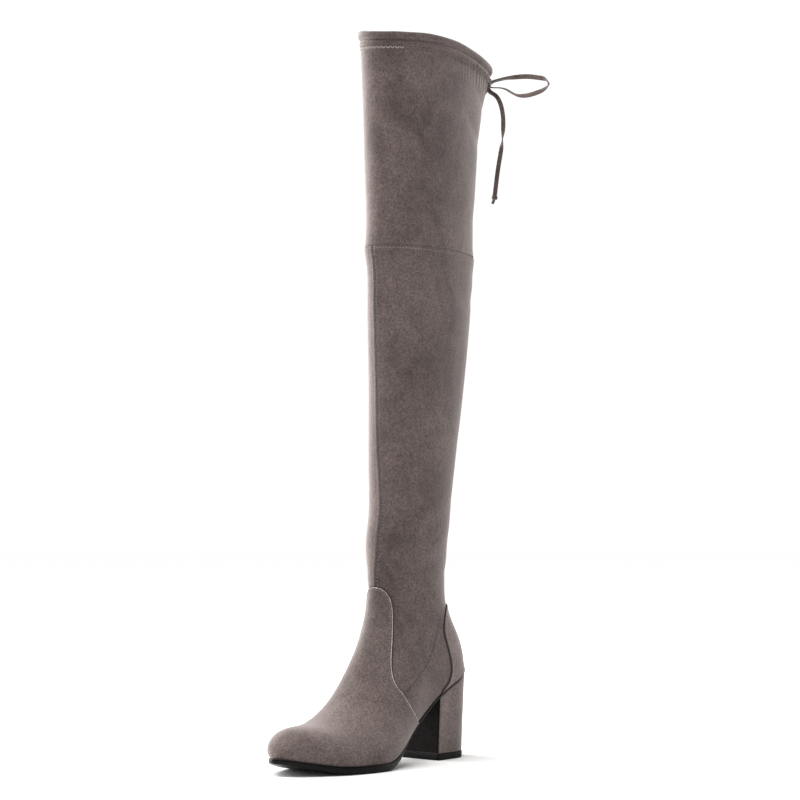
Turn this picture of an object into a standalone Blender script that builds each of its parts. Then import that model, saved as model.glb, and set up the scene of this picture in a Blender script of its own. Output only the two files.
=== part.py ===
"""Left thigh high boot: hollow upper, vamp and heel overlays, outsole, block heel, insole and tie.

Metres, +Z up, the toe towards -Y and the wearer's left towards +X. The origin is the centre of the
heel's top piece, on the floor.
"""
import math

import bmesh
import bpy
import numpy as np
from mathutils import Vector

# Foot sizes
SHOE_LENGTH = 0.240
BALL_WIDTH = 0.084
HEEL_WIDTH = 0.062
HEEL_HEIGHT = 0.086
HEEL_OVERHANG = 0.0285
INSTEP_HEIGHT = 0.079
TOE_SPRING = 0.011

# Shaft sizes: heights from the floor, depths front to back, how far each centre lies before the heel's
ANKLE_WIDTH = 0.064
ANKLE_DEPTH = 0.092
ANKLE_SETBACK = 0.042
KNEE_HEIGHT = 0.480
KNEE_WIDTH = 0.0715
KNEE_DEPTH = 0.1395
KNEE_SETBACK = 0.0208
COLLAR_HEIGHT = 0.683
COLLAR_WIDTH = 0.082
COLLAR_DEPTH = 0.1785
COLLAR_SETBACK = 0.0053
COLLAR_DIP = 0.008
CASING_HEIGHT = 0.0155
CASING_STEP = 0.0006

# Walls, overlays and the clearance between pieces that meet
FOOT_WALL = 0.0020
SHAFT_WALL = 0.0016
OVERLAY_THICKNESS = 0.0010
CLEARANCE = 0.0003

# Sole and insole
SOLE_THICKNESS = 0.0070
SOLE_MARGIN = 0.0030
INSOLE_THICKNESS = 0.0030
INSOLE_CLEARANCE = 0.0019

# Heel: the block's foot print on the top piece, and where its breast meets the sole
HEEL_FOOT_WIDTH = 0.0522
HEEL_FOOT_DEPTH = 0.0522
HEEL_MARGIN = 0.0008
HEEL_TAPER = 1.15
BREAST_ALONG = 0.227
TOP_PIECE_THICKNESS = 0.0062
TOP_PIECE_MARGIN = 0.0003
TOP_PIECE_BEVEL = 0.0008

# Tie at the back of the collar
LACE_RADIUS = 0.0016
TIE_DROP = 0.021
KNOT_WIDTH = 0.010
KNOT_HEIGHT = 0.0085
KNOT_DEPTH = 0.0075
END_KNOT_SIZE = 0.0062

# How finely the pieces are divided
GIRTH_STEPS = 18
FOOT_ROWS = 24
LEG_ROWS = 14
SOLE_ROWS = 40
HEEL_ROWS = 14

ANKLE_HEIGHT = HEEL_HEIGHT + INSTEP_HEIGHT

# The line of the collar's rim. around: share of the way from the front to the back, the outer side above zero.
# drop: how far below COLLAR_HEIGHT, a share of COLLAR_DIP.
COLLAR_COLUMNS = ("around", "drop")
COLLAR_LINE = (
    (-1.00, 1.00),
    (-0.70, 0.42),
    (-0.45, -0.20),
    (-0.28, -0.50),
    (-0.15, -0.55),
    (-0.06, -0.12),
    (0.00, 0.24),
    (0.08, 0.46),
    (0.16, 0.45),
    (0.30, 0.28),
    (0.45, 0.29),
    (0.60, 0.54),
    (0.80, 0.87),
    (1.00, 1.00),
)
DIP_POWER = 4

# Fineness of the curves that the grids are read from, and the least share of a side that a cut takes
ARC_POINTS = 61
OUTLINE_POINTS = 600
HALVINGS = 24
LEAST_CUT_SHARE = 0.02
# The foot's edge on the sole is at most this share of the section's width
EDGE_REACH_SHARE = 0.985
# The sole's margin widens from its heel value to its full one between these places along the shoe
MARGIN_START_SHARE = 0.42
MARGIN_END_SHARE = 0.60
SHARP_DEGREES = 40
# One more row of the foot lies this share of a row before the heel's back, where its edge turns most
HEEL_ROW_SHARE = 0.3

LEVEL_HEIGHTS = (HEEL_HEIGHT, ANKLE_HEIGHT, KNEE_HEIGHT, COLLAR_HEIGHT)
LEVEL_WIDTHS = (HEEL_WIDTH, ANKLE_WIDTH, KNEE_WIDTH, COLLAR_WIDTH)
LEVEL_DEPTHS = (ANKLE_DEPTH, ANKLE_DEPTH, KNEE_DEPTH, COLLAR_DEPTH)
LEVEL_CENTRES = (-ANKLE_SETBACK, -ANKLE_SETBACK, -KNEE_SETBACK, -COLLAR_SETBACK)

# The sole's outline. along: share of SHOE_LENGTH from the heel's back. centre: sideways place of the middle,
# a share of BALL_WIDTH. ball, heel: half width as shares of BALL_WIDTH and HEEL_WIDTH, before the round ends.
OUTLINE_COLUMNS = ("along", "centre", "ball", "heel")
OUTLINE = (
    (0.00, 0.000, 0.000, 0.450),
    (0.12, 0.000, 0.000, 0.452),
    (0.22, 0.000, 0.000, 0.446),
    (0.33, 0.012, 0.100, 0.285),
    (0.41, 0.025, 0.200, 0.160),
    (0.49, 0.036, 0.330, 0.060),
    (0.56, 0.038, 0.430, 0.000),
    (0.62, 0.030, 0.468, 0.000),
    (0.69, 0.010, 0.480, 0.000),
    (0.77, -0.010, 0.457, 0.000),
    (0.85, -0.030, 0.430, 0.000),
    (0.93, -0.060, 0.400, 0.000),
    (1.00, -0.088, 0.360, 0.000),
)
HEEL_ROUND = {"share": 0.125, "power": 2.05}
TOE_ROUND = {"share": 0.25, "power": 1.7}

# The sole from the side. rise: underside as a share of the seat's height. spring: the same of TOE_SPRING.
# thick: share of SOLE_THICKNESS.
PROFILE_COLUMNS = ("along", "rise", "spring", "thick")
PROFILE = (
    (0.000, 1.000, 0.00, 0.32),
    (0.044, 0.949, 0.00, 0.32),
    (0.098, 0.882, 0.00, 0.32),
    (0.156, 0.805, 0.00, 0.34),
    (0.194, 0.751, 0.00, 0.37),
    (0.227, 0.697, 0.00, 0.41),
    (0.260, 0.633, 0.00, 0.47),
    (0.302, 0.541, 0.00, 0.50),
    (0.352, 0.429, 0.00, 0.52),
    (0.406, 0.306, 0.00, 0.56),
    (0.452, 0.207, 0.00, 0.62),
    (0.494, 0.128, 0.00, 0.71),
    (0.527, 0.074, 0.00, 0.81),
    (0.560, 0.032, 0.00, 0.90),
    (0.590, 0.008, 0.00, 0.97),
    (0.615, 0.000, 0.00, 1.00),
    (0.750, 0.000, 0.00, 1.00),
    (0.830, 0.000, 0.16, 0.90),
    (0.900, 0.000, 0.48, 0.78),
    (1.000, 0.000, 1.00, 0.66),
)

# Sections of the foot, toe to heel. base, ridge: where the section stands on the sole and meets the ridge, as
# shares of SHOE_LENGTH from the heel's back. climb: ridge over base, a share of INSTEP_HEIGHT. ball, heel:
# half width as shares of BALL_WIDTH and HEEL_WIDTH. skew: sideways place of the ridge, a share of BALL_WIDTH.
# widest: height of the widest place, a share of the section. low, outer, inner: roundness below it, and above
# it on the outer and inner side (2 is an ellipse).
FOOT_COLUMNS = ("base", "ridge", "climb", "ball", "heel", "skew", "widest", "low", "outer", "inner")
FOOT = (
    (1.000, 1.000, 0.000, 0.000, 0.000, -0.088, 0.40, 2.0, 2.0, 2.0),
    (0.973, 0.991, 0.120, 0.143, 0.000, -0.088, 0.40, 2.0, 2.0, 2.0),
    (0.923, 0.952, 0.290, 0.276, 0.000, -0.086, 0.36, 2.0, 2.0, 2.0),
    (0.844, 0.864, 0.398, 0.408, 0.000, -0.080, 0.32, 2.0, 2.0, 2.1),
    (0.769, 0.778, 0.440, 0.479, 0.000, -0.072, 0.28, 2.0, 1.9, 2.1),
    (0.690, 0.692, 0.550, 0.504, 0.000, -0.066, 0.26, 2.0, 1.8, 2.0),
    (0.585, 0.606, 0.812, 0.482, 0.000, -0.050, 0.24, 2.0, 1.75, 1.9),
    (0.473, 0.552, 0.995, 0.260, 0.220, -0.034, 0.26, 2.0, 1.8, 1.85),
    (0.348, 0.515, 0.945, 0.080, 0.420, -0.018, 0.32, 2.0, 1.9, 1.9),
    (0.227, 0.495, 0.900, 0.000, 0.494, -0.008, 0.36, 2.0, 1.95, 1.95),
    (0.119, 0.488, 0.900, 0.000, 0.485, 0.000, 0.38, 2.1, 2.0, 2.0),
    (0.044, 0.4855, 0.930, 0.000, 0.479, 0.000, 0.41, 2.2, 2.0, 2.0),
    (0.000, 0.4850, 1.000, 0.000, 0.475, 0.000, 0.44, 2.2, 2.0, 2.0),
)

# Sections of the leg, counter to collar. Levels: 1 the heel seat, 2 the ankle, 3 the knee seam, 4 the collar.
# back, front: levels of the section's two ends. swell, shin: how far they stand out from the straight line
# between levels, as shares of HEEL_WIDTH. width: share of the level's width. widest, behind, ahead: place of the
# widest point from the back, and the roundness behind and ahead of it.
LEG_COLUMNS = ("back", "front", "swell", "shin", "width", "widest", "behind", "ahead")
LEG = (
    (1.177, 2.029, 0.002, 0.012, 0.473, 0.46, 2.2, 2.0),
    (1.430, 2.063, -0.098, 0.010, 0.470, 0.48, 2.1, 2.0),
    (1.709, 2.105, -0.138, 0.004, 0.480, 0.49, 2.0, 2.0),
    (1.962, 2.146, -0.070, -0.012, 0.490, 0.50, 2.0, 2.0),
    (2.054, 2.194, -0.068, -0.065, 0.494, 0.50, 2.0, 2.0),
    (2.143, 2.257, -0.068, -0.100, 0.498, 0.50, 2.0, 2.0),
    (2.270, 2.352, -0.068, -0.090, 0.500, 0.50, 2.0, 2.0),
    (2.429, 2.483, -0.035, -0.090, 0.505, 0.50, 2.0, 2.0),
    (2.635, 2.660, 0.010, -0.080, 0.508, 0.50, 2.0, 2.0),
    (2.841, 2.851, 0.022, -0.055, 0.503, 0.50, 2.0, 2.0),
    (2.962, 2.964, 0.010, -0.030, 0.500, 0.51, 2.0, 2.0),
    (3.000, 3.000, -0.010, 0.000, 0.502, 0.51, 2.0, 2.0),
    (3.060, 3.059, -0.060, -0.025, 0.500, 0.52, 2.0, 2.0),
    (3.296, 3.296, -0.135, -0.045, 0.496, 0.54, 1.95, 2.0),
    (3.590, 3.590, -0.165, -0.035, 0.494, 0.57, 1.85, 2.0),
    (3.837, 3.837, -0.095, -0.015, 0.496, 0.60, 1.75, 2.0),
    (4.000, 4.000, 0.000, 0.000, 0.500, 0.62, 1.70, 2.0),
)

# Edges of the overlays: height, and the angle round the ankle's upright centre line from straight ahead (vamp)
# or straight behind (heel). rise: share of ANKLE_HEIGHT.
EDGE_COLUMNS = ("rise", "degrees")
VAMP_EDGE = (
    (0.00, 86.0),
    (0.20, 62.0),
    (0.25, 53.5),
    (0.325, 43.5),
    (0.393, 36.3),
    (0.44, 30.5),
    (0.50, 26.2),
    (0.58, 23.9),
    (0.70, 22.9),
    (0.865, 21.0),
    (0.92, 18.0),
    (0.955, 13.6),
    (0.975, 9.0),
    (0.983, 5.2),
    (0.986, 0.0),
)
HEEL_EDGE = (
    (0.36, 60.0),
    (0.40, 53.5),
    (0.435, 46.0),
    (0.50, 42.8),
    (0.56, 44.2),
    (0.62, 47.8),
    (0.68, 52.7),
    (0.74, 56.3),
    (0.79, 55.5),
    (0.84, 49.5),
    (0.868, 40.5),
    (0.884, 22.0),
    (0.888, 0.0),
)

# The tie's routes from the knot's centre, in metres: sideways, backwards and up. The outer tail hangs free
# behind the shaft, and the inner one lies round its inner side.
LOOP_ROUTE = (
    (0.0052, 0.0, 0.0030),
    (0.0118, 0.0006, 0.0042),
    (0.0192, 0.0010, 0.0047),
    (0.0329, 0.0020, 0.0044),
    (0.0490, 0.0025, 0.0027),
    (0.0640, 0.0030, -0.0010),
    (0.0717, 0.0030, -0.0046),
    (0.0737, 0.0030, -0.0086),
    (0.0699, 0.0030, -0.0122),
    (0.0602, 0.0030, -0.0148),
    (0.0489, 0.0025, -0.0160),
    (0.0380, 0.0020, -0.0146),
    (0.0309, 0.0015, -0.0115),
    (0.0240, 0.0010, -0.0070),
    (0.0149, 0.0005, -0.0037),
    (0.0060, 0.0, -0.0021),
)
OUTER_TAIL_ROUTE = (
    (0.0022, 0.0, -0.0045),
    (0.0090, 0.0010, -0.0100),
    (0.0148, 0.0015, -0.0182),
    (0.0178, 0.0020, -0.0295),
    (0.0186, 0.0020, -0.0398),
    (0.0182, 0.0015, -0.0525),
    (0.0167, 0.0010, -0.0659),
    (0.0141, 0.0005, -0.0800),
    (0.0112, 0.0005, -0.0961),
    (0.0091, 0.0005, -0.1103),
)
INNER_TAIL_ROUTE = (
    (0.0022, 0.0, -0.0045),
    (0.0070, -0.0040, -0.0105),
    (0.0110, -0.0085, -0.0180),
    (0.0140, -0.0140, -0.0280),
    (0.0160, -0.0190, -0.0390),
    (0.0172, -0.0235, -0.0510),
    (0.0180, -0.0270, -0.0640),
    (0.0188, -0.0300, -0.0780),
    (0.0195, -0.0330, -0.0920),
    (0.0200, -0.0350, -0.1030),
)
INNER_LOOP_SHARE = 0.95
LACE_POINT_SPACING = 5.0


def clear_scene():
    for old in list(bpy.data.objects):
        bpy.data.objects.remove(old, do_unlink=True)


def column(table, names, name):
    return np.array([row[names.index(name)] for row in table], float)


def steady(knots, values, where):
    """Smooth curve through the points that never overshoots them (a monotone cubic)."""
    gaps = np.diff(knots)
    slopes = np.diff(values) / gaps
    tangents = np.zeros(len(knots))
    before, after = slopes[:-1], slopes[1:]
    same = before * after > 0
    near = 2 * gaps[1:] + gaps[:-1]
    far = gaps[1:] + 2 * gaps[:-1]
    with np.errstate(divide="ignore", invalid="ignore"):
        mean = (near + far) / (near / before + far / after)
    tangents[1:-1] = np.where(same, mean, 0.0)
    tangents[0], tangents[-1] = slopes[0], slopes[-1]
    place = np.clip(np.searchsorted(knots, where, side="right") - 1, 0, len(gaps) - 1)
    width = gaps[place]
    t = (where - knots[place]) / width
    return (
        (1 + 2 * t) * (1 - t) ** 2 * values[place]
        + t * (1 - t) ** 2 * width * tangents[place]
        + t * t * (3 - 2 * t) * values[place + 1]
        + t * t * (t - 1) * width * tangents[place + 1]
    )


def flowing(knots, values, where):
    """Smooth curve with even bending through the points (a natural cubic spline)."""
    gaps = np.diff(knots)
    count = len(knots)
    matrix = np.eye(count)
    right = np.zeros(count)
    for i in range(1, count - 1):
        matrix[i, i - 1 : i + 2] = gaps[i - 1], 2 * (gaps[i - 1] + gaps[i]), gaps[i]
        right[i] = 6 * ((values[i + 1] - values[i]) / gaps[i] - (values[i] - values[i - 1]) / gaps[i - 1])
    bends = np.linalg.solve(matrix, right)
    place = np.clip(np.searchsorted(knots, where, side="right") - 1, 0, count - 2)
    width = gaps[place]
    ahead, behind = knots[place + 1] - where, where - knots[place]
    return (
        (bends[place] * ahead**3 + bends[place + 1] * behind**3) / (6 * width)
        + (values[place] / width - bends[place] * width / 6) * ahead
        + (values[place + 1] / width - bends[place + 1] * width / 6) * behind
    )


def level_value(level, values):
    return np.interp(level, (1, 2, 3, 4), values)


def outline(along):
    """Sideways middle and half width of the foot's edge where it meets the sole."""
    knots = column(OUTLINE, OUTLINE_COLUMNS, "along")
    centre = flowing(knots, column(OUTLINE, OUTLINE_COLUMNS, "centre"), along) * BALL_WIDTH
    ball = flowing(knots, column(OUTLINE, OUTLINE_COLUMNS, "ball"), along)
    heel = flowing(knots, column(OUTLINE, OUTLINE_COLUMNS, "heel"), along)
    behind = np.clip(1 - along / HEEL_ROUND["share"], 0, 1)
    ahead = np.clip(1 - (1 - along) / TOE_ROUND["share"], 0, 1)
    ends = (1 - behind ** HEEL_ROUND["power"]) ** (1 / HEEL_ROUND["power"])
    ends = ends * (1 - ahead ** TOE_ROUND["power"]) ** (1 / TOE_ROUND["power"])
    return centre, (ball * BALL_WIDTH + heel * HEEL_WIDTH) * ends


def sole_heights(along):
    """Height of the sole's underside and of its top."""
    knots = column(PROFILE, PROFILE_COLUMNS, "along")
    seat = HEEL_HEIGHT - SOLE_THICKNESS * PROFILE[0][3]
    under = steady(knots, column(PROFILE, PROFILE_COLUMNS, "rise"), along) * seat
    under = under + steady(knots, column(PROFILE, PROFILE_COLUMNS, "spring"), along) * TOE_SPRING
    thick = steady(knots, column(PROFILE, PROFILE_COLUMNS, "thick"), along) * SOLE_THICKNESS
    return under, under + thick


def along_to_y(along):
    return HEEL_OVERHANG - along * SHOE_LENGTH


def y_to_along(y):
    return np.clip((HEEL_OVERHANG - y) / SHOE_LENGTH, 0, 1)


def stations():
    """The sections of both tables as real lengths, one array for each column, toe to collar."""
    foot = {name: column(FOOT, FOOT_COLUMNS, name) for name in FOOT_COLUMNS}
    leg = {name: column(LEG, LEG_COLUMNS, name) for name in LEG_COLUMNS}
    base_z = sole_heights(foot["base"])[1] + CLEARANCE
    centres, depths = LEVEL_CENTRES, LEVEL_DEPTHS
    behind = np.array(centres) + np.array(depths) / 2
    behind[0] = HEEL_OVERHANG
    front = np.array(centres) - np.array(depths) / 2
    return {
        "base_y": np.append(
            along_to_y(foot["base"]), level_value(leg["back"], behind) + leg["swell"] * HEEL_WIDTH
        ),
        "base_z": np.append(base_z, level_value(leg["back"], LEVEL_HEIGHTS)),
        "ridge_y": np.append(
            along_to_y(foot["ridge"]), level_value(leg["front"], front) - leg["shin"] * HEEL_WIDTH
        ),
        "ridge_z": np.append(
            base_z + foot["climb"] * INSTEP_HEIGHT, level_value(leg["front"], LEVEL_HEIGHTS)
        ),
        "half": np.append(
            foot["ball"] * BALL_WIDTH + foot["heel"] * HEEL_WIDTH,
            leg["width"] * level_value(leg["back"], LEVEL_WIDTHS),
        ),
        "skew": np.append(foot["skew"] * BALL_WIDTH, np.zeros(len(LEG))),
        "widest": np.append(foot["widest"], leg["widest"]),
        "low": np.append(foot["low"], leg["behind"]),
        "outer": np.append(foot["outer"], leg["ahead"]),
        "inner": np.append(foot["inner"], leg["ahead"]),
        "along": foot["base"],
        "edge": np.append(outline(foot["base"])[1], np.zeros(len(LEG))),
    }


def section_rows(foot_rows, leg_rows):
    """Every row of the upper's grid, read from smooth curves through the stations."""
    known = stations()
    paced = ("base_y", "base_z", "ridge_y", "ridge_z", "edge")
    steps = sum(np.diff(known[name]) ** 2 for name in paced)
    knots = np.append(0.0, np.cumsum(np.sqrt(steps / 2)))
    last = len(FOOT) - 1
    casing = knots[-1] - CASING_HEIGHT
    where = np.concatenate(
        (
            np.linspace(0.0, knots[last], foot_rows)[:-1],
            (knots[last] * (1 - HEEL_ROW_SHARE / foot_rows), knots[last]),
            np.linspace(knots[last], casing, leg_rows + 1)[1:],
            (casing + CASING_STEP, knots[-1] - CASING_STEP * 2, knots[-1]),
        )
    )
    on_foot = where <= knots[last]
    along = flowing(knots[: last + 1], known["along"], where[on_foot])
    along = np.clip(along, 0.0, 1.0)
    rows = {name: flowing(knots, known[name], where) for name in known if name not in ("along", "edge")}
    rows["base_y"][on_foot] = along_to_y(along)
    rows["base_z"][on_foot] = sole_heights(along)[1] + CLEARANCE
    for name in ("base_y", "base_z"):
        rows[name][~on_foot] = flowing(knots[last:], known[name][last:], where[~on_foot])
    centre, edge = outline(along)
    spare = np.zeros(np.count_nonzero(~on_foot))
    rows["centre"] = np.append(centre, spare)
    rows["edge"] = np.append(edge, spare)
    rows["step"] = np.where(where > casing + CASING_STEP / 2, CASING_STEP, 0.0)
    rows["step"][-1] = CASING_STEP / 2
    rows["foot_end"] = foot_rows
    return rows


def half_section(height, half, edge, widest, low, high, steps):
    """One side of a section, base to ridge: heights and half widths at even steps along its curve."""
    fine = np.linspace(0, math.pi / 2, ARC_POINTS)
    reach = min(edge / half, EDGE_REACH_SHARE) if half > 0 else 0.0
    lift = widest * height
    lower_up = lift * (1 - np.cos(fine))
    lower_out = half * (1 - (1 - reach**low) * np.cos(fine) ** low) ** (1 / low)
    upper_up = lift + (height - lift) * np.sin(fine) ** (2 / high)
    upper_out = half * np.abs(np.cos(fine)) ** (2 / high)
    up = np.append(lower_up, upper_up[1:])
    out = np.append(lower_out, upper_out[1:])
    run = np.append(0.0, np.cumsum(np.hypot(np.diff(up), np.diff(out))))
    if run[-1] == 0:
        return np.zeros(steps + 1), np.zeros(steps + 1)
    even = np.linspace(0, run[-1], steps + 1)
    return np.interp(even, run, up), np.interp(even, run, out)


def upper_grid(foot_rows=FOOT_ROWS, leg_rows=LEG_ROWS, steps=GIRTH_STEPS):
    """Points of the upper's outer face: rows from toe to collar, columns from the outer edge to the inner."""
    rows = section_rows(foot_rows, leg_rows)
    grid = np.zeros((len(rows["half"]), 2 * steps + 1, 3))
    for i in range(len(grid)):
        dy = rows["ridge_y"][i] - rows["base_y"][i]
        dz = rows["ridge_z"][i] - rows["base_z"][i]
        height = math.hypot(dy, dz) if i else 0.0
        for sign, high in ((1, "outer"), (-1, "inner")):
            up, out = half_section(
                height, rows["half"][i], rows["edge"][i], rows["widest"][i],
                rows["low"][i], rows[high][i], steps,
            )
            share = up / height if height else up
            middle = rows["centre"][i] + (rows["skew"][i] - rows["centre"][i]) * share
            points = np.stack(
                (middle + sign * out, rows["base_y"][i] + dy * share, rows["base_z"][i] + dz * share), 1
            )
            if sign > 0:
                grid[i, : steps + 1] = points
            else:
                grid[i, steps:] = points[::-1]
    dip_collar(grid)
    return grid, rows


def dip_collar(grid):
    """Gives the collar's rim its line round the leg, and less of it to the rows just under it."""
    steps = np.linalg.norm(np.diff(grid[-1], axis=0), axis=1)
    around = 1 - 2 * np.append(0.0, np.cumsum(steps)) / steps.sum()
    knots = column(COLLAR_LINE, COLLAR_COLUMNS, "around")
    drop = steady(knots, column(COLLAR_LINE, COLLAR_COLUMNS, "drop"), around) * COLLAR_DIP
    ridge = grid[:, grid.shape[1] // 2, 2]
    near = np.clip((ridge - KNEE_HEIGHT) / (COLLAR_HEIGHT - KNEE_HEIGHT), 0, 1) ** DIP_POWER
    grid[:, :, 2] -= near[:, None] * drop[None, :]


def grid_normals(grid, foot_end):
    """Outward normals of the grid's points, with its seam at the back closed above the sole."""
    across = np.gradient(grid, axis=1)
    leg = slice(foot_end, None)
    wrapped = (grid[leg, 1] - grid[leg, -2]) / 2
    across[leg, 0] = wrapped
    across[leg, -1] = wrapped
    down = np.gradient(grid, axis=0)
    normals = np.cross(down, across)
    size = np.linalg.norm(normals, axis=2, keepdims=True)
    normals = normals / np.where(size > 0, size, 1)
    normals[0] = (0.0, -1.0, 0.0)
    return normals


def offset_grid(grid, normals, distance, foot_end):
    """The grid moved along its normals, by a distance for each row. Its edge on the sole moves level."""
    moved = grid + normals * distance[:, None, None]
    for end in (0, -1):
        level = normals[: foot_end + 1, end].copy()
        level[:, 2] = 0
        level /= np.linalg.norm(level, axis=1, keepdims=True)
        edge = grid[: foot_end + 1, end] + level * distance[: foot_end + 1, None]
        edge[:, 2] = sole_heights(y_to_along(edge[:, 1]))[1] + CLEARANCE
        moved[: foot_end + 1, end] = edge
    moved[0] = moved[0, 0]
    moved[foot_end, -1] = moved[foot_end, 0]
    return moved


def material(name, colour, roughness, metallic=0.0):
    made = bpy.data.materials.new(name)
    made.use_nodes = True
    shader = made.node_tree.nodes["Principled BSDF"]
    shader.inputs["Base Color"].default_value = (*colour, 1.0)
    shader.inputs["Roughness"].default_value = roughness
    shader.inputs["Metallic"].default_value = metallic
    return made


def add_object(name, points, faces, finish, smooth=True):
    mesh = bpy.data.meshes.new(name)
    mesh.from_pydata([tuple(map(float, p)) for p in points], [], faces)
    mesh.validate()
    mesh.update()
    made = bpy.data.objects.new(name, mesh)
    bpy.context.scene.collection.objects.link(made)
    mesh.materials.append(finish)
    if smooth:
        mesh.shade_smooth()
        mesh.set_sharp_from_angle(angle=math.radians(SHARP_DEGREES))
    return made


class Welder:
    """Collects faces and shares points that fall on the same place."""

    def __init__(self):
        self.points = []
        self.index = {}
        self.faces = []

    def point(self, place):
        key = tuple(round(float(value) * 1e7) for value in place)
        if key not in self.index:
            self.index[key] = len(self.points)
            self.points.append(place)
        return self.index[key]

    def face(self, *places):
        corners = []
        for place in places:
            number = self.point(place)
            if number not in corners:
                corners.append(number)
        if len(corners) > 2:
            self.faces.append(tuple(corners))


def cell_triangles(i, j, middle):
    """The two triangles of a cell of the grid, mirrored from one side of the ridge to the other."""
    a, b, c, d = (i, j), (i + 1, j), (i + 1, j + 1), (i, j + 1)
    return ((a, b, c), (a, c, d)) if j < middle else ((a, b, d), (b, c, d))


def make_upper(grid, normals, rows, finish):
    """One closed shell: outer face, inner face, and the rims on the sole and at the collar."""
    foot_end = rows["foot_end"]
    height = grid[:, grid.shape[1] // 2, 2]
    share = np.clip((height - ANKLE_HEIGHT) / (KNEE_HEIGHT - ANKLE_HEIGHT), 0, 1)
    wall = FOOT_WALL + (SHAFT_WALL - FOOT_WALL) * share
    outer = offset_grid(grid, normals, rows["step"], foot_end)
    inner = offset_grid(grid, normals, -wall, foot_end)
    shell = Welder()
    for i in range(len(grid) - 1):
        for j in range(grid.shape[1] - 1):
            for corners in cell_triangles(i, j, grid.shape[1] // 2):
                shell.face(*(outer[at] for at in corners))
                shell.face(*(inner[at] for at in reversed(corners)))
    for i in range(foot_end):
        shell.face(outer[i, 0], inner[i, 0], inner[i + 1, 0], outer[i + 1, 0])
        shell.face(outer[i, -1], outer[i + 1, -1], inner[i + 1, -1], inner[i, -1])
    for j in range(grid.shape[1] - 1):
        shell.face(outer[-1, j], inner[-1, j], inner[-1, j + 1], outer[-1, j + 1])
    return add_object("upper", shell.points, shell.faces, finish)


def edge_angle(edge, height):
    rise = column(edge, EDGE_COLUMNS, "rise") * ANKLE_HEIGHT
    return steady(rise, column(edge, EDGE_COLUMNS, "degrees"), np.clip(height, rise[0], rise[-1]))


def in_vamp(point):
    """Above zero on the part of the surface that the vamp covers."""
    angle = abs(math.degrees(math.atan2(point[0], -ANKLE_SETBACK - point[1])))
    inside = edge_angle(VAMP_EDGE, point[2]) - angle
    return float(min(inside, (VAMP_EDGE[-1][0] * ANKLE_HEIGHT - point[2]) * 1000))


def in_heel_counter(point):
    """Above zero on the part of the surface that the heel counter covers."""
    angle = abs(math.degrees(math.atan2(point[0], point[1] + ANKLE_SETBACK)))
    inside = edge_angle(HEEL_EDGE, point[2]) - angle
    return float(min(inside, (HEEL_EDGE[-1][0] * ANKLE_HEIGHT - point[2]) * 1000))


class Panel:
    """An overlay cut out of the upper's own grid, between two offsets of it."""

    def __init__(self, grid, normals, foot_end, covers):
        self.grid, self.foot_end, self.covers = grid, foot_end, covers
        spread = np.ones(len(grid))
        self.near = offset_grid(grid, normals, spread * CLEARANCE, foot_end)
        self.far = offset_grid(grid, normals, spread * (CLEARANCE + OVERLAY_THICKNESS), foot_end)
        self.places = {}

    def corner(self, i, j):
        last = self.grid.shape[1] - 1
        key = (0, 0) if i == 0 else (i, 0 if i >= self.foot_end and j == last else j)
        if key not in self.places:
            self.places[key] = (self.grid[i, j], self.near[i, j], self.far[i, j])
        return key

    def crossing(self, one, other):
        """The point between two corners where the overlay's edge runs, found by halving."""
        one, other = sorted((one, other))
        key = (one, other)
        if key not in self.places:
            start, end = self.places[one], self.places[other]
            rising = self.covers(end[0]) > 0
            low, high = 0.0, 1.0
            for _ in range(HALVINGS):
                share = (low + high) / 2
                if (self.covers(start[0] + (end[0] - start[0]) * share) > 0) == rising:
                    high = share
                else:
                    low = share
            share = min(max(share, LEAST_CUT_SHARE), 1 - LEAST_CUT_SHARE)
            self.places[key] = tuple(a + (b - a) * share for a, b in zip(start, end))
        return key

    def cells(self):
        """The covered part of each of the grid's triangles."""
        for i in range(len(self.grid) - 1):
            for j in range(self.grid.shape[1] - 1):
                for ends in cell_triangles(i, j, self.grid.shape[1] // 2):
                    corners = [self.corner(*at) for at in ends]
                    if len(set(corners)) == 3:
                        loop = self.clipped(corners)
                        if len(loop) > 2:
                            yield loop

    def clipped(self, corners):
        inside = [self.covers(self.places[key][0]) > 0 for key in corners]
        loop = []
        for k, key in enumerate(corners):
            after = (k + 1) % 3
            if inside[k]:
                loop.append(key)
            if inside[k] != inside[after]:
                loop.append(self.crossing(key, corners[after]))
        return loop

    def make(self, name, finish):
        shell = Welder()
        sides = {}
        for loop in self.cells():
            shell.face(*(self.places[key][2] for key in loop))
            shell.face(*(self.places[key][1] for key in reversed(loop)))
            for a, b in zip(loop, loop[1:] + loop[:1]):
                if (b, a) in sides:
                    del sides[(b, a)]
                else:
                    sides[(a, b)] = True
        for a, b in sides:
            shell.face(self.places[a][2], self.places[a][1], self.places[b][1], self.places[b][2])
        return add_object(name, shell.points, shell.faces, finish)


def sole_margin(along):
    """How far the sole stands out past the upper's edge: less where it lies over the heel."""
    share = np.clip((along - MARGIN_START_SHARE) / (MARGIN_END_SHARE - MARGIN_START_SHARE), 0, 1)
    return HEEL_MARGIN + (SOLE_MARGIN - HEEL_MARGIN) * share


def even_alongs(end, count):
    """Places from the heel's back to `end`, evenly spaced along the outline's outer side."""
    turn = np.linspace(0, math.pi, OUTLINE_POINTS)
    fine = (1 - np.cos(turn)) / 2 * end
    centre, half = outline(fine)
    run = np.append(0.0, np.cumsum(np.hypot(np.diff(fine) * SHOE_LENGTH, np.diff(centre + half))))
    return np.interp(np.linspace(0, run[-1], count), run, fine)


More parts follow.
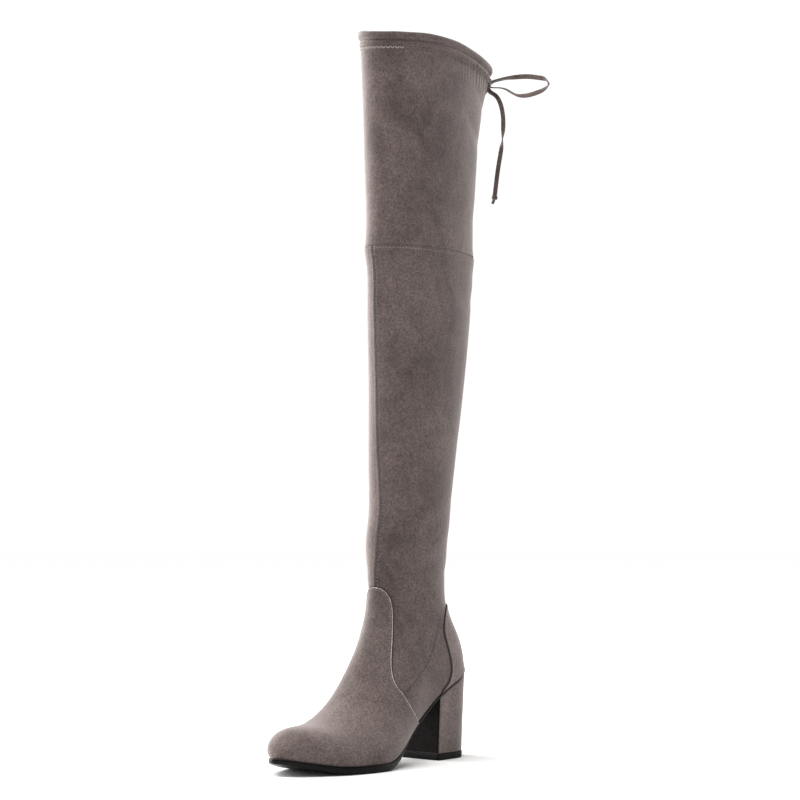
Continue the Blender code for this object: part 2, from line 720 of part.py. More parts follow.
def outline_loop(end, count, margin):
    """Closed plan outline from the heel's back along the outer side and home along the inner side.

    It runs to the toe's tip, or to a straight breast where `end` is under 1.
    """
    along = even_alongs(end, count)
    centre, half = outline(along)
    y = along_to_y(along)
    outer = np.stack((centre + half, y), 1)
    inner = np.stack((centre - half, y), 1)[::-1]
    loop = np.concatenate((outer, inner[1:-1] if end == 1 else inner[:-1]))
    spread = margin(np.concatenate((along, along[::-1][1:-1] if end == 1 else along[::-1][:-1])))
    tangent = np.roll(loop, -1, 0) - np.roll(loop, 1, 0)
    if end < 1:
        tangent[count - 1] = (0, -1)
        tangent[count] = (0, 1)
    normal = np.stack((-tangent[:, 1], tangent[:, 0]), 1)
    normal /= np.linalg.norm(normal, axis=1, keepdims=True)
    return loop + normal * spread[:, None]


def add_layers(name, layers, has_tip, finish):
    """A solid from closed loops stacked upwards. Its two ends are filled by strips across the shoe."""
    count = len(layers[0])
    faces = []
    for k in range(len(layers) - 1):
        for i in range(count):
            after = (i + 1) % count
            faces.append((k * count + i, (k + 1) * count + i, (k + 1) * count + after, k * count + after))
    rungs = (count - 2) // 2 if has_tip else (count - 1) // 2
    top = (len(layers) - 1) * count
    for i in range(rungs):
        left, right = (i, i + 1), ((count - i) % count, count - i - 1)
        strip = [left[0], right[0], right[1], left[1]] if i else [0, right[1], left[1]]
        faces.append(tuple(reversed(strip)))
        faces.append(tuple(top + number for number in strip))
    if has_tip:
        strip = [rungs, rungs + 2, rungs + 1]
        faces.append(tuple(reversed(strip)))
        faces.append(tuple(top + number for number in strip))
    return add_object(name, np.concatenate(layers), faces, finish)


def with_height(loop, height):
    return np.column_stack((loop, np.broadcast_to(height, len(loop))))


# The sole's side, bottom to top: share of the thickness, and how far it is drawn in
SOLE_SIDE = ((0.0, 0.0011), (0.22, 0.0002), (0.80, 0.0), (1.0, 0.0004))


def make_outsole(finish):
    layers = []
    for share, drawn_in in SOLE_SIDE:
        loop = outline_loop(1, SOLE_ROWS, lambda along: sole_margin(along) - drawn_in)
        under, top = sole_heights(y_to_along(loop[:, 1]))
        layers.append(with_height(loop, under + (top - under) * share))
    return add_layers("outsole", layers, True, finish)


def make_insole(finish):
    loop = outline_loop(1, SOLE_ROWS, lambda along: along * 0 - FOOT_WALL - INSOLE_CLEARANCE)
    floor = sole_heights(y_to_along(loop[:, 1]))[1] + CLEARANCE
    layers = [with_height(loop, floor), with_height(loop, floor + INSOLE_THICKNESS)]
    return add_layers("insole", layers, True, finish)


def heel_loops():
    """The heel's outline under the seat, and the same shape drawn in to its foot print."""
    seat = outline_loop(BREAST_ALONG, HEEL_ROWS, lambda along: along * 0 + HEEL_MARGIN - CLEARANCE)
    low, high = seat.min(0), seat.max(0)
    middle = (low + high) / 2
    scale = np.array((HEEL_FOOT_WIDTH, HEEL_FOOT_DEPTH)) / (high - low)
    return seat, (seat - middle) * scale


def make_heel(suede, rubber):
    seat, foot = heel_loops()
    under = sole_heights(y_to_along(seat[:, 1]))[0] - CLEARANCE
    base = TOP_PIECE_THICKNESS + CLEARANCE
    layers = []
    for share in (0.0, 0.5, 1.0):
        loop = foot + (seat - foot) * share**HEEL_TAPER
        layers.append(with_height(loop, base + (under - base) * share))
    block = add_layers("heel_block", layers, False, suede)
    grown = 1 + 2 * TOP_PIECE_MARGIN / np.array((HEEL_FOOT_WIDTH, HEEL_FOOT_DEPTH))
    lift = foot * grown
    worn = foot * (1 - TOP_PIECE_BEVEL / HEEL_FOOT_WIDTH)
    layers = [
        with_height(worn, 0.0),
        with_height(lift, TOP_PIECE_BEVEL),
        with_height(lift, TOP_PIECE_THICKNESS),
    ]
    return block, add_layers("top_piece", layers, False, rubber)


def make_bead(name, place, size, segments, finish):
    bead = bmesh.new()
    bmesh.ops.create_uvsphere(bead, u_segments=segments, v_segments=segments // 2 + 1, radius=0.5)
    bmesh.ops.scale(bead, vec=size, verts=bead.verts)
    bmesh.ops.translate(bead, vec=place, verts=bead.verts)
    mesh = bpy.data.meshes.new(name)
    bead.to_mesh(mesh)
    bead.free()
    mesh.materials.append(finish)
    mesh.shade_smooth()
    made = bpy.data.objects.new(name, mesh)
    bpy.context.scene.collection.objects.link(made)
    return made


def make_lace(name, route, finish):
    """A round cord through the route's points."""
    route = np.array(route)
    knots = np.append(0.0, np.cumsum(np.linalg.norm(np.diff(route, axis=0), axis=1)))
    count = max(4, int(round(knots[-1] / (LACE_RADIUS * LACE_POINT_SPACING))) + 1)
    where = np.linspace(0, knots[-1], count)
    points = np.stack([flowing(knots, route[:, axis], where) for axis in range(3)], 1)
    data = bpy.data.curves.new(name, "CURVE")
    data.dimensions = "3D"
    spline = data.splines.new("POLY")
    spline.points.add(count - 1)
    for made, place in zip(spline.points, points):
        made.co = (*map(float, place), 1.0)
    data.bevel_depth = LACE_RADIUS
    data.bevel_resolution = 2
    data.use_fill_caps = True
    data.materials.append(finish)
    lace = bpy.data.objects.new(name, data)
    bpy.context.scene.collection.objects.link(lace)


def knot_place(grid):
    """The knot's centre: just behind the shaft's back, below the dipped collar."""
    back = grid[-LEG_ROWS:, 0]
    height = COLLAR_HEIGHT - TIE_DROP
    ends = (height - KNOT_HEIGHT / 2, height + KNOT_HEIGHT / 2)
    y = np.interp(ends, back[:, 2], back[:, 1]).max()
    return Vector((0.0, y + CASING_STEP + CLEARANCE + KNOT_DEPTH / 2, height))


def make_tie(grid, finish):
    knot = knot_place(grid)
    make_bead("tie_knot", knot, (KNOT_WIDTH, KNOT_DEPTH, KNOT_HEIGHT), 12, finish)
    start = np.array(LOOP_ROUTE[0])
    short_loop = [start + (np.array(point) - start) * INNER_LOOP_SHARE for point in LOOP_ROUTE[:-1]]
    short_loop.append(LOOP_ROUTE[-1])
    halves = (("outer", 1, LOOP_ROUTE, OUTER_TAIL_ROUTE), ("inner", -1, short_loop, INNER_TAIL_ROUTE))
    for side, sign, loop, tail in halves:
        for kind, route in (("loop", loop), ("tail", tail)):
            placed = [knot + Vector((sign * point[0], point[1], point[2])) for point in route]
            make_lace(f"tie_{kind}_{side}", placed, finish)
        end, before = placed[-1], placed[-2]
        centre = end + (end - before).normalized() * (END_KNOT_SIZE / 2 + CLEARANCE)
        make_bead(f"tie_end_knot_{side}", centre, (END_KNOT_SIZE,) * 3, 10, finish)


def main():
    clear_scene()
    suede = material("suede", (0.155, 0.125, 0.115), 0.95)
    sole_black = material("sole_black", (0.012, 0.012, 0.012), 0.45)
    rubber = material("heel_rubber", (0.018, 0.017, 0.016), 0.70)
    lining = material("insole_lining", (0.30, 0.25, 0.21), 0.80)
    lace = material("suede_lace", (0.135, 0.105, 0.095), 0.95)
    grid, rows = upper_grid()
    normals = grid_normals(grid, rows["foot_end"])
    make_upper(grid, normals, rows, suede)
    Panel(grid, normals, rows["foot_end"], in_vamp).make("vamp", suede)
    Panel(grid, normals, rows["foot_end"], in_heel_counter).make("heel_counter", suede)
    make_outsole(sole_black)
    make_insole(lining)
    make_heel(suede, rubber)
    make_tie(grid, lace)


main()
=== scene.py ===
"""Looks of the left thigh high boot: suede upper with its seams and stitches, overlays, sole, heel and tie.

Metres, in the frame of the CAD: +Z up, toe towards -Y, the boot's outer side towards +X. The sizes, tables
and the functions that read them are those of the CAD source, run here on a finer grid.
"""
import math

import bmesh
import bpy
import numpy as np
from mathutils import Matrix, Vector
from mathutils.bvhtree import BVHTree


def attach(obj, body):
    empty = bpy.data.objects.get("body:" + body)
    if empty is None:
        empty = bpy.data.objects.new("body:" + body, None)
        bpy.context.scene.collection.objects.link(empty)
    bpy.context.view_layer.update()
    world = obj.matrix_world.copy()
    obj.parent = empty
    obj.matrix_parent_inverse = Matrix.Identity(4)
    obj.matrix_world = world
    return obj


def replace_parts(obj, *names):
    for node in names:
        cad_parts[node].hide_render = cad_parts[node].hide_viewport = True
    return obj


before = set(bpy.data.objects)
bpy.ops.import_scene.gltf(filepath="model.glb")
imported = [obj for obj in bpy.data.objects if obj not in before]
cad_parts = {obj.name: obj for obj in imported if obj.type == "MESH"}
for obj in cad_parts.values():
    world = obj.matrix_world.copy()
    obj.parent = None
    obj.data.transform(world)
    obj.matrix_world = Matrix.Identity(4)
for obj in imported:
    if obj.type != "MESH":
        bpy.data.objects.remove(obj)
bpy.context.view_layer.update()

# Foot sizes
SHOE_LENGTH = 0.240
BALL_WIDTH = 0.084
HEEL_WIDTH = 0.062
HEEL_HEIGHT = 0.086
HEEL_OVERHANG = 0.0285
INSTEP_HEIGHT = 0.079
TOE_SPRING = 0.011

# Shaft sizes: heights from the floor, depths front to back, how far each centre lies before the heel's
ANKLE_WIDTH = 0.064
ANKLE_DEPTH = 0.092
ANKLE_SETBACK = 0.042
KNEE_HEIGHT = 0.480
KNEE_WIDTH = 0.0715
KNEE_DEPTH = 0.1395
KNEE_SETBACK = 0.0208
COLLAR_HEIGHT = 0.683
COLLAR_WIDTH = 0.082
COLLAR_DEPTH = 0.1785
COLLAR_SETBACK = 0.0053
COLLAR_DIP = 0.008
CASING_HEIGHT = 0.0155
CASING_STEP = 0.0006

# Walls, overlays and the clearance between pieces that meet
FOOT_WALL = 0.0020
SHAFT_WALL = 0.0016
OVERLAY_THICKNESS = 0.0010
CLEARANCE = 0.0003

# Sole and insole
SOLE_THICKNESS = 0.0070
SOLE_MARGIN = 0.0030
INSOLE_THICKNESS = 0.0030
INSOLE_CLEARANCE = 0.0019

# Heel: the block's foot print on the top piece, and where its breast meets the sole
HEEL_FOOT_WIDTH = 0.0522
HEEL_FOOT_DEPTH = 0.0522
HEEL_MARGIN = 0.0008
HEEL_TAPER = 1.15
BREAST_ALONG = 0.227
TOP_PIECE_THICKNESS = 0.0062
TOP_PIECE_MARGIN = 0.0003

# Tie at the back of the collar
TIE_DROP = 0.021
KNOT_WIDTH = 0.010
KNOT_HEIGHT = 0.0085
KNOT_DEPTH = 0.0075
END_KNOT_SIZE = 0.0062

ANKLE_HEIGHT = HEEL_HEIGHT + INSTEP_HEIGHT

# The line of the collar's rim. around: share of the way from the front to the back, above zero on the outer
# side. drop: how far below COLLAR_HEIGHT, a share of COLLAR_DIP.
COLLAR_COLUMNS = ("around", "drop")
COLLAR_LINE = (
    (-1.00, 1.00),
    (-0.70, 0.42),
    (-0.45, -0.20),
    (-0.28, -0.50),
    (-0.15, -0.55),
    (-0.06, -0.12),
    (0.00, 0.24),
    (0.08, 0.46),
    (0.16, 0.45),
    (0.30, 0.28),
    (0.45, 0.29),
    (0.60, 0.54),
    (0.80, 0.87),
    (1.00, 1.00),
)
DIP_POWER = 4

# The foot's edge on the sole is at most this share of the section's width
EDGE_REACH_SHARE = 0.985
# The sole's margin widens from its heel value to its full one between these places along the shoe
MARGIN_START_SHARE = 0.42
MARGIN_END_SHARE = 0.60

LEVEL_HEIGHTS = (HEEL_HEIGHT, ANKLE_HEIGHT, KNEE_HEIGHT, COLLAR_HEIGHT)
LEVEL_WIDTHS = (HEEL_WIDTH, ANKLE_WIDTH, KNEE_WIDTH, COLLAR_WIDTH)
LEVEL_DEPTHS = (ANKLE_DEPTH, ANKLE_DEPTH, KNEE_DEPTH, COLLAR_DEPTH)
LEVEL_CENTRES = (-ANKLE_SETBACK, -ANKLE_SETBACK, -KNEE_SETBACK, -COLLAR_SETBACK)

# The sole's outline. along: share of SHOE_LENGTH from the heel's back. centre: sideways place of the middle,
# a share of BALL_WIDTH. ball, heel: half width as shares of BALL_WIDTH and HEEL_WIDTH, before the round ends.
OUTLINE_COLUMNS = ("along", "centre", "ball", "heel")
OUTLINE = (
    (0.00, 0.000, 0.000, 0.450),
    (0.12, 0.000, 0.000, 0.452),
    (0.22, 0.000, 0.000, 0.446),
    (0.33, 0.012, 0.100, 0.285),
    (0.41, 0.025, 0.200, 0.160),
    (0.49, 0.036, 0.330, 0.060),
    (0.56, 0.038, 0.430, 0.000),
    (0.62, 0.030, 0.468, 0.000),
    (0.69, 0.010, 0.480, 0.000),
    (0.77, -0.010, 0.457, 0.000),
    (0.85, -0.030, 0.430, 0.000),
    (0.93, -0.060, 0.400, 0.000),
    (1.00, -0.088, 0.360, 0.000),
)
HEEL_ROUND = {"share": 0.125, "power": 2.05}
TOE_ROUND = {"share": 0.25, "power": 1.7}

# The sole from the side. rise: underside as a share of the seat's height. spring: the same of TOE_SPRING.
# thick: share of SOLE_THICKNESS.
PROFILE_COLUMNS = ("along", "rise", "spring", "thick")
PROFILE = (
    (0.000, 1.000, 0.00, 0.32),
    (0.044, 0.949, 0.00, 0.32),
    (0.098, 0.882, 0.00, 0.32),
    (0.156, 0.805, 0.00, 0.34),
    (0.194, 0.751, 0.00, 0.37),
    (0.227, 0.697, 0.00, 0.41),
    (0.260, 0.633, 0.00, 0.47),
    (0.302, 0.541, 0.00, 0.50),
    (0.352, 0.429, 0.00, 0.52),
    (0.406, 0.306, 0.00, 0.56),
    (0.452, 0.207, 0.00, 0.62),
    (0.494, 0.128, 0.00, 0.71),
    (0.527, 0.074, 0.00, 0.81),
    (0.560, 0.032, 0.00, 0.90),
    (0.590, 0.008, 0.00, 0.97),
    (0.615, 0.000, 0.00, 1.00),
    (0.750, 0.000, 0.00, 1.00),
    (0.830, 0.000, 0.16, 0.90),
    (0.900, 0.000, 0.48, 0.78),
    (1.000, 0.000, 1.00, 0.66),
)

# Sections of the foot, toe to heel. base, ridge: where the section stands on the sole and meets the ridge, as
# shares of SHOE_LENGTH from the heel's back. climb: ridge over base, a share of INSTEP_HEIGHT. ball, heel:
# half width as shares of BALL_WIDTH and HEEL_WIDTH. skew: sideways place of the ridge, a share of BALL_WIDTH.
# widest: height of the widest place, a share of the section. low, outer, inner: roundness below it, and above
# it on the outer and inner side (2 is an ellipse).
FOOT_COLUMNS = ("base", "ridge", "climb", "ball", "heel", "skew", "widest", "low", "outer", "inner")
FOOT = (
    (1.000, 1.000, 0.000, 0.000, 0.000, -0.088, 0.40, 2.0, 2.0, 2.0),
    (0.973, 0.991, 0.120, 0.143, 0.000, -0.088, 0.40, 2.0, 2.0, 2.0),
    (0.923, 0.952, 0.290, 0.276, 0.000, -0.086, 0.36, 2.0, 2.0, 2.0),
    (0.844, 0.864, 0.398, 0.408, 0.000, -0.080, 0.32, 2.0, 2.0, 2.1),
    (0.769, 0.778, 0.440, 0.479, 0.000, -0.072, 0.28, 2.0, 1.9, 2.1),
    (0.690, 0.692, 0.550, 0.504, 0.000, -0.066, 0.26, 2.0, 1.8, 2.0),
    (0.585, 0.606, 0.812, 0.482, 0.000, -0.050, 0.24, 2.0, 1.75, 1.9),
    (0.473, 0.552, 0.995, 0.260, 0.220, -0.034, 0.26, 2.0, 1.8, 1.85),
    (0.348, 0.515, 0.945, 0.080, 0.420, -0.018, 0.32, 2.0, 1.9, 1.9),
    (0.227, 0.495, 0.900, 0.000, 0.494, -0.008, 0.36, 2.0, 1.95, 1.95),
    (0.119, 0.488, 0.900, 0.000, 0.485, 0.000, 0.38, 2.1, 2.0, 2.0),
    (0.044, 0.4855, 0.930, 0.000, 0.479, 0.000, 0.41, 2.2, 2.0, 2.0),
    (0.000, 0.4850, 1.000, 0.000, 0.475, 0.000, 0.44, 2.2, 2.0, 2.0),
)

# Sections of the leg, counter to collar. Levels: 1 the heel seat, 2 the ankle, 3 the knee seam, 4 the collar.
# back, front: levels of the section's two ends. swell, shin: how far they stand out from the straight line
# between levels, as shares of HEEL_WIDTH. width: share of the level's width. widest, behind, ahead: place of
# the widest point from the back, and the roundness behind and ahead of it.
LEG_COLUMNS = ("back", "front", "swell", "shin", "width", "widest", "behind", "ahead")
LEG = (
    (1.177, 2.029, 0.002, 0.012, 0.473, 0.46, 2.2, 2.0),
    (1.430, 2.063, -0.098, 0.010, 0.470, 0.48, 2.1, 2.0),
    (1.709, 2.105, -0.138, 0.004, 0.480, 0.49, 2.0, 2.0),
    (1.962, 2.146, -0.070, -0.012, 0.490, 0.50, 2.0, 2.0),
    (2.054, 2.194, -0.068, -0.065, 0.494, 0.50, 2.0, 2.0),
    (2.143, 2.257, -0.068, -0.100, 0.498, 0.50, 2.0, 2.0),
    (2.270, 2.352, -0.068, -0.090, 0.500, 0.50, 2.0, 2.0),
    (2.429, 2.483, -0.035, -0.090, 0.505, 0.50, 2.0, 2.0),
    (2.635, 2.660, 0.010, -0.080, 0.508, 0.50, 2.0, 2.0),
    (2.841, 2.851, 0.022, -0.055, 0.503, 0.50, 2.0, 2.0),
    (2.962, 2.964, 0.010, -0.030, 0.500, 0.51, 2.0, 2.0),
    (3.000, 3.000, -0.010, 0.000, 0.502, 0.51, 2.0, 2.0),
    (3.060, 3.059, -0.060, -0.025, 0.500, 0.52, 2.0, 2.0),
    (3.296, 3.296, -0.135, -0.045, 0.496, 0.54, 1.95, 2.0),
    (3.590, 3.590, -0.165, -0.035, 0.494, 0.57, 1.85, 2.0),
    (3.837, 3.837, -0.095, -0.015, 0.496, 0.60, 1.75, 2.0),
    (4.000, 4.000, 0.000, 0.000, 0.500, 0.62, 1.70, 2.0),
)

# Edges of the overlays: height, and the angle round the ankle's upright centre line from straight ahead
# (vamp) or straight behind (heel). rise: share of ANKLE_HEIGHT.
EDGE_COLUMNS = ("rise", "degrees")
VAMP_EDGE = (
    (0.00, 86.0),
    (0.20, 62.0),
    (0.25, 53.5),
    (0.325, 43.5),
    (0.393, 36.3),
    (0.44, 30.5),
    (0.50, 26.2),
    (0.58, 23.9),
    (0.70, 22.9),
    (0.865, 21.0),
    (0.92, 18.0),
    (0.955, 13.6),
    (0.975, 9.0),
    (0.983, 5.2),
    (0.986, 0.0),
)
HEEL_EDGE = (
    (0.36, 60.0),
    (0.40, 53.5),
    (0.435, 46.0),
    (0.50, 42.8),
    (0.56, 44.2),
    (0.62, 47.8),
    (0.68, 52.7),
    (0.74, 56.3),
    (0.79, 55.5),
    (0.84, 49.5),
    (0.868, 40.5),
    (0.884, 22.0),
    (0.888, 0.0),
)

# The tie's routes from the knot's centre, in metres: sideways, backwards and up. The outer tail hangs free
# behind the shaft, and the inner one lies round its inner side.
LOOP_ROUTE = (
    (0.0052, 0.0, 0.0030),
    (0.0118, 0.0006, 0.0042),
    (0.0192, 0.0010, 0.0047),
    (0.0329, 0.0020, 0.0044),
    (0.0490, 0.0025, 0.0027),
    (0.0640, 0.0030, -0.0010),
    (0.0717, 0.0030, -0.0046),
    (0.0737, 0.0030, -0.0086),
    (0.0699, 0.0030, -0.0122),
    (0.0602, 0.0030, -0.0148),
    (0.0489, 0.0025, -0.0160),
    (0.0380, 0.0020, -0.0146),
    (0.0309, 0.0015, -0.0115),
    (0.0240, 0.0010, -0.0070),
    (0.0149, 0.0005, -0.0037),
    (0.0060, 0.0, -0.0021),
)
OUTER_TAIL_ROUTE = (
    (0.0022, 0.0, -0.0045),
    (0.0090, 0.0010, -0.0100),
    (0.0148, 0.0015, -0.0182),
    (0.0178, 0.0020, -0.0295),
    (0.0186, 0.0020, -0.0398),
    (0.0182, 0.0015, -0.0525),
    (0.0167, 0.0010, -0.0659),
    (0.0141, 0.0005, -0.0800),
    (0.0112, 0.0005, -0.0961),
    (0.0091, 0.0005, -0.1103),
)
INNER_TAIL_ROUTE = (
    (0.0022, 0.0, -0.0045),
    (0.0070, -0.0040, -0.0105),
    (0.0110, -0.0085, -0.0180),
    (0.0140, -0.0140, -0.0280),
    (0.0160, -0.0190, -0.0390),
    (0.0172, -0.0235, -0.0510),
    (0.0180, -0.0270, -0.0640),
    (0.0188, -0.0300, -0.0780),
    (0.0195, -0.0330, -0.0920),
    (0.0200, -0.0350, -0.1030),
)
INNER_LOOP_SHARE = 0.95

# How finely the visible pieces are divided
ARC_POINTS = 241
OUTLINE_POINTS = 900
FOOT_ROWS = 130
LEG_ROWS = 190
SOLE_ROWS = 150
HEEL_ROWS = 110

# Camera, fitted to the photo
CAMERA_PLACE = (1.1476, -1.4162, 0.2057)
CAMERA_AZIMUTH = 40.058
CAMERA_PITCH = 2.795
CAMERA_FOCAL_PX = 1896.4
CAMERA_SHIFT = (0.0, 0.06)
FRAME_PX = 800
SENSOR_MM = 36.0

# Where a mesh's edges stay sharp, in degrees
SUEDE_ANGLE = 75
EDGE_ANGLE = 50
LACE_ANGLE = 70

# Lamps: name, place, what it points at, size, power, colour
LAMPS = (
    ("top", (-0.3, -0.9, 3.2), (0, 0, 0.3), (3.0, 3.0), 175.0, (1.0, 0.98, 0.96)),
    ("left_rim", (-1.3, -0.35, 0.65), (0, -0.03, 0.4), (0.5, 1.4), 36.0, (1.0, 0.985, 0.97)),
    ("right_rim", (0.75, 1.25, 0.35), (0, 0, 0.2), (0.4, 0.8), 3.6, (1.0, 1.0, 1.0)),
)

# The world's strength as light, and as the background that is seen
WORLD_LIGHT = 0.47
WORLD_SEEN = 1.05
FLOOR_REACH = 30

# Lace: a flat suede band
LACE_WIDTH = 0.0049
LACE_THICKNESS = 0.0013
TAIL_WIDTH = LACE_WIDTH * 0.92

# The knot's outer turn: width and thickness. Where the strands start in the knot: a share of their first point
KNOT_BAND = (0.0036, 0.0011)
KNOT_REACH = 0.3

# The front seam's way: height, and arc from the front towards the outer side, in metres
FRONT_SEAM = (
    (0.150, 0.0012),
    (0.165, 0.0019),
    (0.209, 0.0044),
    (0.270, 0.0022),
    (0.336, 0.0),
    (0.480, 0.0),
)


def column(table, names, name):
    return np.array([row[names.index(name)] for row in table], float)


def steady(knots, values, where):
    """Smooth curve through the points that never overshoots them (a monotone cubic)."""
    gaps = np.diff(knots)
    slopes = np.diff(values) / gaps
    tangents = np.zeros(len(knots))
    before, after = slopes[:-1], slopes[1:]
    same = before * after > 0
    near = 2 * gaps[1:] + gaps[:-1]
    far = gaps[1:] + 2 * gaps[:-1]
    with np.errstate(divide="ignore", invalid="ignore"):
        mean = (near + far) / (near / before + far / after)
    tangents[1:-1] = np.where(same, mean, 0.0)
    tangents[0], tangents[-1] = slopes[0], slopes[-1]
    place = np.clip(np.searchsorted(knots, where, side="right") - 1, 0, len(gaps) - 1)
    width = gaps[place]
    t = (where - knots[place]) / width
    return (
        (1 + 2 * t) * (1 - t) ** 2 * values[place]
        + t * (1 - t) ** 2 * width * tangents[place]
        + t * t * (3 - 2 * t) * values[place + 1]
        + t * t * (t - 1) * width * tangents[place + 1]
    )


def flowing(knots, values, where):
    """Smooth curve with even bending through the points (a natural cubic spline)."""
    gaps = np.diff(knots)
    count = len(knots)
    matrix = np.eye(count)
    right = np.zeros(count)
    for i in range(1, count - 1):
        matrix[i, i - 1 : i + 2] = gaps[i - 1], 2 * (gaps[i - 1] + gaps[i]), gaps[i]
        right[i] = 6 * ((values[i + 1] - values[i]) / gaps[i] - (values[i] - values[i - 1]) / gaps[i - 1])
    bends = np.linalg.solve(matrix, right)
    place = np.clip(np.searchsorted(knots, where, side="right") - 1, 0, count - 2)
    width = gaps[place]
    ahead, behind = knots[place + 1] - where, where - knots[place]
    return (
        (bends[place] * ahead**3 + bends[place + 1] * behind**3) / (6 * width)
        + (values[place] / width - bends[place] * width / 6) * ahead
        + (values[place + 1] / width - bends[place + 1] * width / 6) * behind
    )


def level_value(level, values):
    return np.interp(level, (1, 2, 3, 4), values)


def outline(along):
    """Sideways middle and half width of the foot's edge where it meets the sole."""
    knots = column(OUTLINE, OUTLINE_COLUMNS, "along")
    centre = flowing(knots, column(OUTLINE, OUTLINE_COLUMNS, "centre"), along) * BALL_WIDTH
    ball = flowing(knots, column(OUTLINE, OUTLINE_COLUMNS, "ball"), along)
    heel = flowing(knots, column(OUTLINE, OUTLINE_COLUMNS, "heel"), along)
    behind = np.clip(1 - along / HEEL_ROUND["share"], 0, 1)
    ahead = np.clip(1 - (1 - along) / TOE_ROUND["share"], 0, 1)
    ends = (1 - behind ** HEEL_ROUND["power"]) ** (1 / HEEL_ROUND["power"])
    ends = ends * (1 - ahead ** TOE_ROUND["power"]) ** (1 / TOE_ROUND["power"])
    return centre, (ball * BALL_WIDTH + heel * HEEL_WIDTH) * ends


def sole_heights(along):
    """Height of the sole's underside and of its top."""
    knots = column(PROFILE, PROFILE_COLUMNS, "along")
    seat = HEEL_HEIGHT - SOLE_THICKNESS * PROFILE[0][3]
    under = steady(knots, column(PROFILE, PROFILE_COLUMNS, "rise"), along) * seat
    under = under + steady(knots, column(PROFILE, PROFILE_COLUMNS, "spring"), along) * TOE_SPRING
    thick = steady(knots, column(PROFILE, PROFILE_COLUMNS, "thick"), along) * SOLE_THICKNESS
    return under, under + thick


def along_to_y(along):
    return HEEL_OVERHANG - along * SHOE_LENGTH


def y_to_along(y):
    return np.clip((HEEL_OVERHANG - y) / SHOE_LENGTH, 0, 1)


def stations():
    """The sections of both tables as real lengths, one array for each column, toe to collar."""
    foot = {name: column(FOOT, FOOT_COLUMNS, name) for name in FOOT_COLUMNS}
    leg = {name: column(LEG, LEG_COLUMNS, name) for name in LEG_COLUMNS}
    base_z = sole_heights(foot["base"])[1] + CLEARANCE
    centres, depths = LEVEL_CENTRES, LEVEL_DEPTHS
    behind = np.array(centres) + np.array(depths) / 2
    behind[0] = HEEL_OVERHANG
    front = np.array(centres) - np.array(depths) / 2
    return {
        "base_y": np.append(
            along_to_y(foot["base"]), level_value(leg["back"], behind) + leg["swell"] * HEEL_WIDTH
        ),
        "base_z": np.append(base_z, level_value(leg["back"], LEVEL_HEIGHTS)),
        "ridge_y": np.append(
            along_to_y(foot["ridge"]), level_value(leg["front"], front) - leg["shin"] * HEEL_WIDTH
        ),
        "ridge_z": np.append(
            base_z + foot["climb"] * INSTEP_HEIGHT, level_value(leg["front"], LEVEL_HEIGHTS)
        ),
        "half": np.append(
            foot["ball"] * BALL_WIDTH + foot["heel"] * HEEL_WIDTH,
            leg["width"] * level_value(leg["back"], LEVEL_WIDTHS),
        ),
        "skew": np.append(foot["skew"] * BALL_WIDTH, np.zeros(len(LEG))),
        "widest": np.append(foot["widest"], leg["widest"]),
        "low": np.append(foot["low"], leg["behind"]),
        "outer": np.append(foot["outer"], leg["ahead"]),
        "inner": np.append(foot["inner"], leg["ahead"]),
        "along": foot["base"],
        "edge": np.append(outline(foot["base"])[1], np.zeros(len(LEG))),
    }


def row_places(knots):
    """Where the upper's rows lie along its length: close together at the knee seam and at the collar."""
    ankle, top = knots[len(FOOT) - 1], knots[-1]
    seam = knots[len(FOOT) + KNEE_ROW]
    casing = top - 2.6 * CASING_HEIGHT
    leg = np.linspace(ankle, casing, LEG_ROWS)[1:]
    leg = leg[np.abs(leg - seam) > 0.0075]
    return np.concatenate(
        (
            np.linspace(0.0, ankle, FOOT_ROWS),
            np.sort(np.concatenate((leg, seam + np.linspace(-0.0070, 0.0070, 29)))),
            np.linspace(casing, top - 0.0125, 30)[1:-1],
            np.linspace(top - 0.0125, top - 0.0016, 30),
            top - np.array((0.0012, 0.0009, 0.0006, 0.00035, 0.00015, 0.0)),
        )
    )


KNEE_ROW = 11
SIDE_PLACES = np.concatenate(
    (np.linspace(0, 0.045, 10), np.linspace(0.045, 0.955, 72)[1:], np.linspace(0.955, 1, 15)[1:])
)


def section_rows():
    """Every row of the upper's grid, read from smooth curves through the stations."""
    known = stations()
    paced = ("base_y", "base_z", "ridge_y", "ridge_z", "edge")
    steps = sum(np.diff(known[name]) ** 2 for name in paced)
    knots = np.append(0.0, np.cumsum(np.sqrt(steps / 2)))
    last = len(FOOT) - 1
    where = row_places(knots)
    on_foot = where <= knots[last]
    along = np.clip(flowing(knots[: last + 1], known["along"], where[on_foot]), 0.0, 1.0)
    rows = {name: flowing(knots, known[name], where) for name in known if name not in ("along", "edge")}
    rows["base_y"][on_foot] = along_to_y(along)
    rows["base_z"][on_foot] = sole_heights(along)[1] + CLEARANCE
    for name in ("base_y", "base_z"):
        rows[name][~on_foot] = flowing(knots[last:], known[name][last:], where[~on_foot])
    centre, edge = outline(along)
    spare = np.zeros(np.count_nonzero(~on_foot))
    rows["centre"] = np.append(centre, spare)
    rows["edge"] = np.append(edge, spare)
    rows["below_top"] = knots[-1] - where
    rows["from_knee"] = where - knots[last + 1 + KNEE_ROW]
    rows["foot_end"] = np.count_nonzero(on_foot) - 1
    return rows


